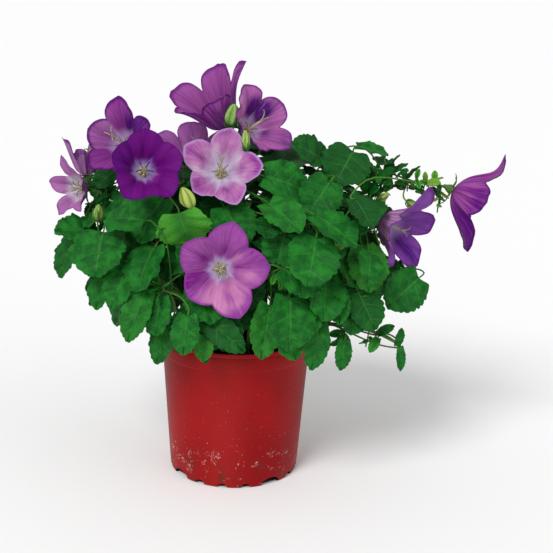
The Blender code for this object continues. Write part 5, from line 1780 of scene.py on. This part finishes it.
def fine_notch_cutters():
    """Rounded cutters through the foot, in a pattern that repeats in each quarter."""
    cutters = []
    for quarter in range(NOTCH_QUARTERS):
        middle = NOTCH_MIDDLE_ANGLE - 90.0 + 90.0 * quarter
        places = [(middle, LARGE_NOTCH)]
        places += [(middle + offset, SMALL_NOTCH) for offset in SMALL_NOTCH_OFFSETS]
        for degrees, (width, height) in places:
            turn = math.radians(degrees)
            out = Vector((math.cos(turn), math.sin(turn), 0.0))
            side = Vector((-out.y, out.x, 0.0))
            outline = []
            for k in range(FINE_NOTCH_SIDES + 1):
                arc = math.pi * k / FINE_NOTCH_SIDES
                outline.append((0.5 * width * math.cos(arc), height * math.sin(arc) ** NOTCH_ROUNDNESS))
            reach = 0.5 * width + NOTCH_FLARE
            outline += [(-reach, -NOTCH_BELOW), (reach, -NOTCH_BELOW)]
            verts = []
            for depth in (POT_FOOT_RADIUS - NOTCH_CUT_DEPTH, POT_FOOT_RADIUS + NOTCH_CUT_DEPTH):
                verts.extend(out * depth + side * aside + UP * rise for aside, rise in outline)
            ring = len(outline)
            caps = [tuple(range(ring - 1, -1, -1)), tuple(range(ring, 2 * ring))]
            cutters.append((verts, caps + ring_faces(0, ring, ring)))
    return cutters


def plain_object(name, solid, collection=None):
    mesh = bpy.data.meshes.new(name)
    mesh.from_pydata([Vector(vert) * MM for vert in solid[0]], [], solid[1])
    item = bpy.data.objects.new(name, mesh)
    (collection or bpy.context.scene.collection).objects.link(item)
    return item


def make_pot():
    pot = plain_object("nursery_pot", turned_solid(fine_pot_profile(), FINE_POT_SIDES))
    cutters = bpy.data.collections.new("notches")
    bpy.context.scene.collection.children.link(cutters)
    for solid in fine_notch_cutters():
        plain_object("notch", solid, cutters)
    cut = pot.modifiers.new("notches", "BOOLEAN")
    cut.operation = "DIFFERENCE"
    cut.operand_type = "COLLECTION"
    cut.collection = cutters
    cut.solver = "MANIFOLD"
    bpy.context.view_layer.update()
    pot.data = bpy.data.meshes.new_from_object(pot.evaluated_get(bpy.context.evaluated_depsgraph_get()))
    pot.modifiers.clear()
    for cutter in list(cutters.objects):
        bpy.data.objects.remove(cutter, do_unlink=True)
    bpy.data.collections.remove(cutters)
    pot.data.materials.clear()
    pot.data.materials.append(pot_surface())
    pot.data.materials.append(pot_inside_surface())
    for face in pot.data.polygons:
        middle = face.center / MM
        outer = wall_radius(middle.z) + (BAND_STEP if middle.z > POT_HEIGHT - BAND_HEIGHT else 0.0)
        inside = math.hypot(middle.x, middle.y) < outer - RED_SHARE * POT_WALL
        if inside and middle.z > UNDERSIDE_BELOW:
            face.material_index = 1
    pot.data.shade_smooth()
    pot.data.set_sharp_from_angle(angle=math.radians(SMOOTH_ANGLE))
    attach(pot, "root")
    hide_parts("pot")


def lump(middle, size, draw):
    """Small rough crumb of soil."""
    ball = bmesh.new()
    bmesh.ops.create_icosphere(ball, subdivisions=2, radius=1.0)
    stretch = Vector([size * draw.uniform(*CRUMB_STRETCH) for axis in range(3)])
    phase = draw.uniform(0.0, CRUMB_PHASES)
    first, second = CRUMB_WAVES
    verts = []
    for vert in ball.verts:
        waves = math.sin(first * vert.co.x + phase) * math.cos(second * vert.co.y - phase)
        rough = 1.0 + CRUMB_ROUGHNESS * waves
        verts.append(middle + Vector([c * s * rough for c, s in zip(vert.co, stretch)]))
    faces = [tuple(v.index for v in face.verts) for face in ball.faces]
    ball.free()
    return verts, faces


def soil_height(share):
    """Height of the soil this share of the way from its middle to its rim."""
    rise = smooth_step(share / SOIL_CREST_AT)
    if share >= SOIL_CREST_AT:
        rise = 1.0 - smooth_step((share - SOIL_CREST_AT) / (1.0 - SOIL_CREST_AT))
    return POT_HEIGHT - SOIL_BELOW_RIM + SOIL_BUMP * rise


def make_soil():
    """Rough soil with crumbs on it, and a plain body under it."""
    shape = Shape()
    shape.add(*turned_solid(soil_profile(), FINE_SOIL_SIDES))
    rim = wall_radius(POT_HEIGHT - SOIL_BELOW_RIM) + BAND_STEP - POT_WALL - CRUMBS_FROM_WALL
    draw = random.Random(CRUMB_SEED)
    feet = [plant_part.foot for plant_part in BLOOMS + SHOOTS]
    for _ in range(CRUMBS):
        reach = rim * math.sqrt(draw.random())
        turn = draw.uniform(0.0, FULL_TURN)
        place = Vector((reach * math.cos(turn), reach * math.sin(turn), 0.0))
        size = draw.uniform(*CRUMB_RADII)
        if any(math.hypot(place.x - foot[0], place.y - foot[1]) < CRUMB_SPARE + size for foot in feet):
            continue
        if reach + size > rim:
            continue
        place.z = soil_height(reach / rim) + draw.uniform(*CRUMB_SUNK) * size
        shape.add(*lump(place, size, draw), tone=draw.random())
    shape.make("potting_soil", [soil_surface()], ["soil"])


# Materials


def linear(red, green, blue):
    """Surface colour that shows as these 0 to 255 values under the lamps of this scene."""
    shares = []
    for level in (red, green, blue):
        value = level / 255.0
        light = value / 12.92 if value < 0.04 else ((value + 0.055) / 1.055) ** 2.4
        shares.append(COLOR_SHARE * light)
    return shares + [1.0]


class Surface:
    """Short calls that build one material's nodes, with its colour laid on in layers."""

    def __init__(self, name, roughness, specular):
        self.material = bpy.data.materials.new(name)
        self.material.use_nodes = True
        self.tree = self.material.node_tree
        self.shader = self.tree.nodes["Principled BSDF"]
        self.link(roughness, self.shader.inputs["Roughness"])
        self.link(specular, self.shader.inputs["Specular IOR Level"])

    def link(self, value, socket):
        """Give a socket a node's output, a plain value, or a screen colour as a tuple of its levels."""
        if isinstance(value, bpy.types.NodeSocket):
            self.tree.links.new(value, socket)
        else:
            socket.default_value = linear(*value) if isinstance(value, tuple) else value

    def node(self, kind, inputs, **settings):
        """A node of this kind, with what goes into its inputs by their names or numbers."""
        node = self.tree.nodes.new("ShaderNode" + kind)
        for name, setting in settings.items():
            setattr(node, name, setting)
        for name, value in inputs.items():
            self.link(value, node.inputs[name])
        return node.outputs

    def value(self, name):
        """A value kept at each point of the mesh."""
        return self.node("Attribute", {}, attribute_name=name)["Fac"]

    def place(self):
        return self.node("TexCoord", {})["Object"]

    def math(self, operation, first, second=0.0):
        return self.node("Math", {0: first, 1: second}, operation=operation)[0]

    def times(self, first, second):
        return self.math("MULTIPLY", first, second)

    def plus(self, first, second):
        return self.math("ADD", first, second)

    def minus(self, first, second):
        return self.math("SUBTRACT", first, second)

    def most(self, first, second):
        return self.math("MAXIMUM", first, second)

    def size(self, value):
        """The value without its sign."""
        return self.math("ABSOLUTE", value)

    def swing(self, noise, amount):
        """How far a noise is from its middle value, times an amount."""
        return self.times(self.minus(noise, 0.5), amount)

    def join(self, x, y, z):
        return self.node("CombineXYZ", {0: x, 1: y, 2: z})[0]

    def split(self, vector):
        return self.node("SeparateXYZ", {0: vector})

    def noise(self, vector, scale, detail=2.0, distortion=0.0):
        inputs = {"Vector": vector, "Scale": scale, "Detail": detail, "Distortion": distortion}
        return self.node("TexNoise", inputs)["Fac"]

    def cells(self, vector, scale):
        """Distance to the nearest edge between cells."""
        inputs = {"Vector": vector, "Scale": scale}
        return self.node("TexVoronoi", inputs, feature="DISTANCE_TO_EDGE")["Distance"]

    def between(self, value, low, high, end=1.0, start=0.0):
        """The value taken from a range to one from start to end, held at its ends."""
        inputs = {"Value": value, "From Min": low, "From Max": high, "To Min": start, "To Max": end}
        return self.node("MapRange", inputs, interpolation_type="SMOOTHSTEP")["Result"]

    def mix(self, factor, first, second):
        return self.node("Mix", {"Factor": factor, 6: first, 7: second}, data_type="RGBA")[2]

    def start(self, factor, first, second):
        """The lowest layer of colour, mixed from two."""
        self.layers = self.mix(factor, first, second)

    def cover(self, factor, color):
        """A layer of colour over those before it, as strong as the factor."""
        self.layers = self.mix(factor, self.layers, color)

    def finish(self, height, distance, strength=1.0):
        """The material, with its layers of colour and relief this many millimetres deep."""
        self.link(self.layers, self.shader.inputs["Base Color"])
        inputs = {"Strength": strength, "Distance": distance * MM, "Height": height}
        self.link(self.node("Bump", inputs)["Normal"], self.shader.inputs["Normal"])
        return self.material


def pot_surface():
    """Red sheet plastic with a painted upright sheen and painted shade at its sides, and scratches and brown
    smudges near its foot.
    """
    surface = Surface("pot_red_plastic", 0.45, 0.1)
    place = surface.place()
    x, _, z = surface.split(place)
    broad = surface.noise(place, 16.0)
    surface.start(surface.between(broad, 0.3, 0.7), POT_RED, POT_DEEP_RED)
    # Painted sheen: a paler upright stripe a little left of the pot's middle, fading out to the sides
    aside = surface.size(surface.plus(x, SHEEN_SHIFT * MM))
    surface.cover(surface.between(aside, SHEEN_REACH * MM, 0.0, 0.22), POT_SHEEN_RED)
    low = surface.between(z, SMUDGES_BELOW * MM, 2.0 * MM)
    smudge = surface.between(surface.noise(place, 95.0, 5.0), 0.52, 0.7)
    dirt = surface.times(smudge, surface.plus(surface.times(low, 0.75), 0.1))
    # Painted shade: far out across the pot its sides turn darker and browner, in the colour of the real
    # smudges
    edge = surface.between(surface.size(x), SHADED_SIDES[0] * MM, SHADED_SIDES[1] * MM, 0.55)
    surface.cover(surface.most(dirt, edge), POT_DIRT_AND_SIDE_SHADE)
    contour = surface.noise(place, 240.0, distortion=1.2)
    scratch = surface.between(surface.size(surface.minus(contour, 0.5)), 0.024, 0.01)
    patches = surface.between(surface.noise(place, 110.0), 0.55, 0.62)
    foot, low_full, high_full, top = (height * MM for height in SCRATCHES_BETWEEN)
    band = surface.times(surface.between(z, foot, low_full), surface.between(z, top, high_full))
    scuffs = surface.times(surface.times(scratch, patches), band)
    specks = surface.between(surface.noise(place, 800.0), 0.7, 0.75)
    specks = surface.times(specks, surface.between(z, SPECKS_BELOW * MM, 0.0, 0.8, start=0.1))
    surface.cover(surface.most(scuffs, specks), POT_SCUFF)
    fine = surface.noise(place, 450.0, 3.0)
    return surface.finish(surface.plus(fine, surface.plus(broad, scuffs)), 0.12, 0.5)


def pot_inside_surface():
    """Black inner side of the sheet, dusted with soil."""
    surface = Surface("pot_black_inside", 0.6, 0.15)
    dust = surface.between(surface.noise(surface.place(), 160.0, 5.0), 0.5, 0.7)
    surface.start(dust, POT_INSIDE, POT_DUST)
    return surface.finish(surface.noise(surface.place(), 500.0, 3.0), 0.1, 0.4)


def soil_surface():
    """Dark grains with bluish patches and a few pale fibres."""
    surface = Surface("dark_potting_soil", 0.95, 0.1)
    place = surface.place()
    grain = surface.noise(place, 420.0, 6.0)
    patch = surface.noise(place, 90.0, 3.0)
    surface.start(surface.between(grain, 0.3, 0.7), SOIL_DARK, SOIL_LIGHT)
    surface.cover(surface.between(patch, 0.55, 0.75), SOIL_BLUE)
    surface.cover(surface.between(surface.noise(place, 1300.0), 0.7, 0.76), SOIL_FIBRE)
    return surface.finish(grain, 1.2)


def stem_surface():
    """Green stem, streaked with brown and browner near the soil."""
    surface = Surface("stem_green", 0.5, 0.15)
    place = surface.place()
    streak = surface.noise(place, 320.0, 3.0)
    surface.start(surface.value("tone"), STEM_GREEN, STEM_LIGHT)
    surface.cover(surface.between(streak, 0.55, 0.8, 0.5), STEM_BROWN)
    low = surface.between(surface.split(place)[2], BROWN_STEMS_BELOW * MM, SOIL_LEVEL * MM)
    surface.cover(surface.times(low, 0.45), STEM_BROWN)
    return surface.finish(streak, 0.2, 0.6)


def leaf_surface():
    """Blade with pale veins, a fine net between them, a lighter edge and a paler underside."""
    surface = Surface("leaf_green", 0.5, 0.1)
    vein, spread, tone, under = (surface.value(name) for name in ("vein", "spread", "tone", "under"))
    place = surface.join(surface.value("ahead"), surface.value("aside"), surface.times(tone, 90.0))
    cloud = surface.noise(place, 0.16, 3.0)
    surface.start(surface.between(cloud, 0.35, 0.68), LEAF_DEEP, LEAF_GREEN)
    edge = surface.between(spread, 0.0, 0.8, start=0.3)
    surface.cover(surface.times(surface.between(tone, *FRESH_TONES), edge), LEAF_FRESH)
    surface.cover(surface.between(tone, *DARK_TONES, 0.8), LEAF_DARK)
    surface.cover(surface.between(tone, *LIME_TONES), LEAF_LIME)
    surface.cover(surface.between(tone, *WITHERED_TONES), LEAF_WITHERED)
    apart = surface.size(surface.minus(surface.math("FRACT", vein), 0.5))
    width = surface.between(spread, 0.0, 1.0, VEIN_WIDTHS[1], start=VEIN_WIDTHS[0])
    side_vein = surface.between(surface.math("DIVIDE", apart, width), 1.0, 0.2)
    midrib = surface.between(spread, 0.07, 0.015)
    cells = surface.cells(place, 0.55)
    veins = surface.most(surface.times(side_vein, 0.75), midrib)
    veins = surface.most(veins, surface.times(surface.between(cells, 0.09, 0.02), 0.3))
    surface.cover(surface.times(veins, 0.28), LEAF_VEIN)
    surface.cover(surface.times(under, 0.5), LEAF_UNDER)
    spots = surface.between(surface.noise(place, 0.5, 4.0), 0.74, 0.8)
    surface.cover(surface.times(spots, 0.5), LEAF_BROWN)
    surface.link(surface.between(cloud, 0.2, 0.8, 0.56, start=0.4), surface.shader.inputs["Roughness"])
    return surface.finish(surface.minus(surface.times(cells, 1.4), surface.times(veins, 0.6)), 0.45, 0.7)


def sepal_surface():
    """Green sepals and ovaries with deeper streaks."""
    surface = Surface("sepal_green", 0.5, 0.15)
    streak = surface.noise(surface.place(), 700.0, 3.0)
    surface.start(surface.value("tone"), SEPAL_GREEN, SEPAL_LIGHT)
    surface.cover(surface.between(streak, 0.4, 0.75), LEAF_DEEP)
    return surface.finish(streak, 0.15, 0.5)


def bud_surface():
    """Pale green ribbed bud with painted highlights on its ribs, greener at its foot, and yellower the riper
    it is.
    """
    surface = Surface("bud_green", 0.5, 0.15)
    streak = surface.noise(surface.place(), 500.0, 3.0)
    rib = surface.value("vein")
    surface.start(surface.value("tone"), BUD_GREEN, BUD_YELLOW)
    surface.cover(surface.between(streak, 0.4, 0.75, 0.6), BUD_PALE)
    # Painted highlights along the ribs
    surface.cover(surface.between(rib, 0.3, 1.0, 0.5), BUD_RIDGE_HIGHLIGHT)
    surface.cover(surface.between(rib, -0.2, -0.9, 0.7), BUD_GROOVE)
    surface.cover(surface.between(surface.value("spread"), 0.35, 0.0), BUD_FOOT)
    return surface.finish(streak, 0.15, 0.5)


def petal_surface(number, paint):
    """Petal skin: pale throat, veined lobes tinted in part with painted shade and highlight, darker rim, and
    its own colour outside.
    """
    surface = Surface(f"petal_{number:02d}", 0.6, 0.1)
    reach, share, offset, under = (surface.value(name) for name in ("reach", "share", "offset", "under"))
    aside = surface.size(offset)
    seed = surface.plus(surface.times(surface.value("lobe"), 7.3), 11.0 * number)

    def weave(across_lobe, up_petal, detail, distortion):
        """Noise that is stretched along the petal and differs from lobe to lobe."""
        place = surface.join(surface.times(offset, across_lobe), surface.times(reach, up_petal), seed)
        return surface.noise(place, 1.0, detail, distortion)

    broad = weave(1.1, 2.2, 3.0, 0.5)
    streak = weave(12.0, 1.5, 3.0, 0.4)
    thread = weave(30.0, 2.5, 2.0, 0.3)
    # The tint value is partly the petal's own colour and partly painted shade and highlight, with random
    # blotches
    tint = surface.plus(surface.value("tint"), surface.swing(broad, paint.blotch))
    lighter = surface.between(tint, 0.0, 1.0)
    deeper = surface.between(tint, 0.0, -1.0)
    surface.start(lighter, paint.main, paint.light)
    surface.cover(deeper, paint.deep)
    surface.cover(surface.between(streak, 0.5, 0.75, 0.22), paint.deep)
    surface.cover(surface.between(streak, 0.45, 0.25, 0.22), paint.light)
    surface.cover(surface.between(thread, 0.52, 0.66, 0.32), paint.deep)
    surface.cover(surface.between(thread, 0.46, 0.34, 0.2), paint.light)
    middle = surface.times(surface.between(aside, 0.06, 0.01), surface.between(reach, 0.15, 0.5, 0.3))
    surface.cover(middle, paint.deep)
    ray = surface.times(surface.math("POWER", aside, 5.0), paint.ray)
    near = surface.minus(reach, surface.plus(ray, surface.swing(streak, 0.16)))
    surface.cover(surface.between(near, paint.throat + paint.fade, paint.throat), paint.pale)
    surface.cover(surface.between(reach, 0.07, 0.01, 0.8), EYE_GREEN)
    ragged = surface.plus(share, surface.swing(streak, 0.06))
    rim = surface.between(ragged, 1.0 - paint.rim, 1.0 - 0.25 * paint.rim, 0.85)
    surface.cover(rim, paint.edge)
    back = surface.mix(surface.between(streak, 0.42, 0.62), paint.back, paint.back_light)
    back = surface.mix(surface.between(aside, 0.14, 0.03, 0.35), back, paint.back_light)
    # The painted shade and highlight lighten and darken the outside as well
    back = surface.mix(surface.times(lighter, 0.8), back, paint.back_light)
    back = surface.mix(surface.times(deeper, 0.9), back, paint.deep)
    back = surface.mix(surface.between(reach, 0.55, 0.12, paint.foot), back, PETAL_FOOT)
    surface.cover(under, surface.mix(rim, back, paint.edge))
    return surface.finish(streak, 0.35, 0.5)


def flat_surface(name, dark, light, roughness):
    """Two close colours mixed in small grains."""
    surface = Surface(name, roughness, 0.15)
    grain = surface.noise(surface.place(), 1500.0, 3.0)
    surface.start(surface.between(grain, 0.35, 0.65), dark, light)
    return surface.finish(grain, 0.15, 0.5)


# Leaves that only the finer plant has


def grow_extra_leaves(plant):
    """More leaves between those of the solids, each clear of everything placed before it."""
    for index, leaf in enumerate(GAP_LEAVES):
        grow_leaf(plant, leaf, random.Random(GAP_LEAF_SEED + index), GAP_LEAF_STEADINESS)
    for shell, count, seed, size in EXTRA_SHELLS:
        for index in range(count):
            draw = random.Random(seed + index)
            leaf = bush_leaf(index, count, shell, draw)
            reach = (leaf.tip - leaf.base) * size
            grow_leaf(plant, leaf._replace(tip=leaf.base + reach, width=leaf.width * size), draw, 1.0)


def stem_leaf(path, i, turn, draw, size):
    """Tiny leaf without a stalk at this point of a stem."""
    along = way_at(path, i)
    out = Matrix.Rotation(turn, 3, along) @ across(UP, along)
    ahead = unit(out + along * draw.uniform(*STEM_LEAF_LEAN))
    length = size * draw.uniform(*STEM_LEAF_LENGTHS)
    base = path[i] + out * STEM_TIP_RADIUS
    width = length * draw.uniform(*STEM_LEAF_WIDTHS)
    facing = unit(along + UP * STEM_LEAF_UP + scatter(draw, FACE_SCATTER))
    return Leaf(base, base + ahead * length, width, facing, SMALL_LEAF_TEETH)


def grow_tiny_leaf(plant, node, leaf):
    """Place a tiny leaf if it touches nothing but its own stem and keeps out of the blooms' mouths."""
    wide = leaf_solid(leaf, spare=STEM_LEAF_SPARE)
    tree = tree_of(wide)
    if plant.blocked(wide, node, ("stem",)) or any(tree.overlap(cover) for cover in plant.covers):
        return False
    plant.add(node, leaf_solid(leaf), "leaf")
    plant.leaves.append((node, leaf, None))
    return True


def grow_stem_leaves(plant):
    """Tiny leaves in a spiral up each stem that carries a bloom, where they are clear."""
    for number in range(1, len(BLOOMS) + 1):
        node = f"stem_{number:02d}"
        dense = number in DENSE_STEMS
        step = DENSE_LEAF_STEP if dense else STEM_LEAF_STEP
        size = DENSE_LEAF_SIZE if dense else 1.0
        draw = random.Random(STEM_LEAF_SEED + number)
        path = smooth_path(plant.paths[node], DENSE_SMOOTH if dense else STEM_SMOOTH)
        last = len(path) - 1
        travelled = 0.0
        turn = draw.uniform(0.0, FULL_TURN)
        for i in range(math.ceil(STEM_LEAF_FROM * last), math.floor(STEM_LEAF_TO * last)):
            travelled += (path[i] - path[i - 1]).length
            if travelled < step:
                continue
            travelled = 0.0
            turn += GOLDEN_ANGLE
            leaf = stem_leaf(path, i, turn, draw, size)
            if grow_tiny_leaf(plant, node, leaf) and dense:
                plant.tones[id(leaf)] = draw.uniform(*DENSE_LEAF_TONES)


def sprig_path(plant, sprig):
    """From the stem's point nearest to the sprig's root to its tip, rising first."""
    stem = smooth_path(plant.paths[sprig.node], STEM_SMOOTH)
    tip = Vector(sprig.tip)
    usable = [point for point in stem if (point - tip).length > SPRIG_SHORTEST]
    start = min(usable, key=lambda point: (point - tip).length)
    reach = (tip - start).length
    bend = start + (tip - start) * SPRIG_BEND + UP * SPRIG_RISE * reach
    steps = max(SPRIG_FEWEST_STEPS, round(reach / SPRIG_STEP))
    return bezier_path(start, bend, bend, tip, steps)


def grow_sprigs(plant):
    """Thin side shoots set with tiny leaves, each leaf clear of everything placed before it."""
    for number, sprig in enumerate(SPRIGS):
        draw = random.Random(SPRIG_SEED + number)
        path = sprig_path(plant, sprig)
        shoot = tube(path, [SPRIG_RADIUS] * len(path), SPRIG_SIDES)
        if plant.blocked(shoot, sprig.node, ("stem", "stalk", "leaf")):
            continue
        plant.sprigs.append((sprig.node, path))
        turn = draw.uniform(0.0, FULL_TURN)
        for i in range(1, len(path) - 1):
            for _ in range(SPRIG_LEAVES_A_STEP):
                turn += GOLDEN_ANGLE
                leaf = stem_leaf(path, i, turn, draw, sprig.size)
                if grow_tiny_leaf(plant, sprig.node, leaf):
                    plant.tones[id(leaf)] = sprig.tone * draw.uniform(*SPRIG_TONES)


# Pieces of the plant


def make_blooms():
    style, stigma, anther, dark_anther = [flat_surface(*colors) for colors in HEART_COLORS]
    for number, (bloom, paint) in enumerate(zip(BLOOMS, PAINTS), 1):
        shape = Shape(PETAL_VALUES)
        fine_corolla(shape, bloom, paint, RIPPLE_SHIFT * number)
        name = f"bloom_{number:02d}"
        shape.make(name + "_petals", [petal_surface(number, paint)], [name + "_corolla"])
        shape = Shape()
        fine_heart(shape, bloom, paint)
        skins = [style, stigma, dark_anther if paint.dark_anthers else anther]
        shape.make(name + "_pistil", skins, [name + "_heart"])


def make_stems(plant):
    skins = [stem_surface(), leaf_surface(), sepal_surface(), bud_surface()]
    for number, (node, path) in enumerate(plant.paths.items(), 1):
        draw = random.Random(STEM_SEED + number)
        shape = Shape(LEAFY_VALUES)
        fine_stem(shape, path, draw.random())
        if number <= len(BLOOMS):
            fine_calyx(shape, BLOOMS[number - 1], draw.random())
        for owner, leaf, start in plant.leaves:
            if owner != node:
                continue
            tone = plant.tones.get(id(leaf), COMMON_TONE * draw.random())
            fine_blade(shape, leaf, BRIGHT_TONE if leaf is plant.leaves[0][1] else tone)
            if start:
                fine_stalk(shape, start, leaf, draw.random())
        for owner, path in plant.sprigs:
            if owner == node:
                sprig = tube(path, [SPRIG_RADIUS] * len(path), FINE_STALK_SIDES)
                shape.add(*sprig, skin=0, tone=draw.random())
        for owner, bud, start in plant.buds:
            if owner == node:
                fine_bud(shape, start, bud, BUD_LOOKS[BUDS.index(bud)], draw.random())
        shape.make(node + "_leafy", skins, [node])


# Camera, lights and floor


def make_camera():
    pitch, yaw, roll = (math.radians(degrees) for degrees in CAMERA_TILTS)
    ahead = Vector((math.sin(yaw) * math.cos(pitch), math.cos(yaw) * math.cos(pitch), -math.sin(pitch)))
    level = Vector((math.cos(yaw), -math.sin(yaw), 0.0))
    above = level.cross(ahead)
    right = level * math.cos(roll) + above * math.sin(roll)
    up = above * math.cos(roll) - level * math.sin(roll)
    data = bpy.data.cameras.new("camera")
    data.sensor_width = SENSOR_WIDTH
    data.lens = CAMERA_FOCAL / FRAME_WIDTH * data.sensor_width
    camera = bpy.data.objects.new("camera", data)
    bpy.context.scene.collection.objects.link(camera)
    axes = Matrix((right, up, -ahead)).transposed().to_4x4()
    camera.matrix_world = Matrix.Translation(Vector(CAMERA_PLACE) * MM) @ axes
    bpy.context.scene.camera = camera


def make_sun(name, direction, strength, softness):
    """Even light from this direction. Its softness is the angle it fills, in degrees."""
    data = bpy.data.lights.new(name, "SUN")
    data.energy = strength
    data.angle = math.radians(softness)
    light = bpy.data.objects.new(name, data)
    light.rotation_euler = Vector(direction).to_track_quat("Z", "Y").to_euler()
    bpy.context.scene.collection.objects.link(light)


def make_studio():
    mesh = bpy.data.meshes.new("floor")
    reach = FLOOR_REACH * MM
    corners = [(-reach, -reach, 0.0), (reach, -reach, 0.0), (reach, reach, 0.0), (-reach, reach, 0.0)]
    mesh.from_pydata(corners, [], [(0, 1, 2, 3)])
    floor = bpy.data.objects.new("floor", mesh)
    bpy.context.scene.collection.objects.link(floor)
    paper = Surface("pale_floor", 0.9, 0.1)
    paper.link(FLOOR_SHADE, paper.shader.inputs["Base Color"])
    mesh.materials.append(paper.material)
    for sun in SUNS:
        make_sun(*sun)
    world = bpy.data.worlds.new("studio")
    world.use_nodes = True
    background = world.node_tree.nodes["Background"]
    background.inputs["Color"].default_value = WORLD_SHADE
    background.inputs["Strength"].default_value = WORLD_STRENGTH
    bpy.context.scene.world = world
    bpy.context.scene.view_settings.view_transform = "Standard"


make_camera()
make_studio()
make_pot()
make_soil()
make_blooms()
plant = grow_plant()
grow_extra_leaves(plant)
grow_stem_leaves(plant)
grow_sprigs(plant)
make_stems(plant)
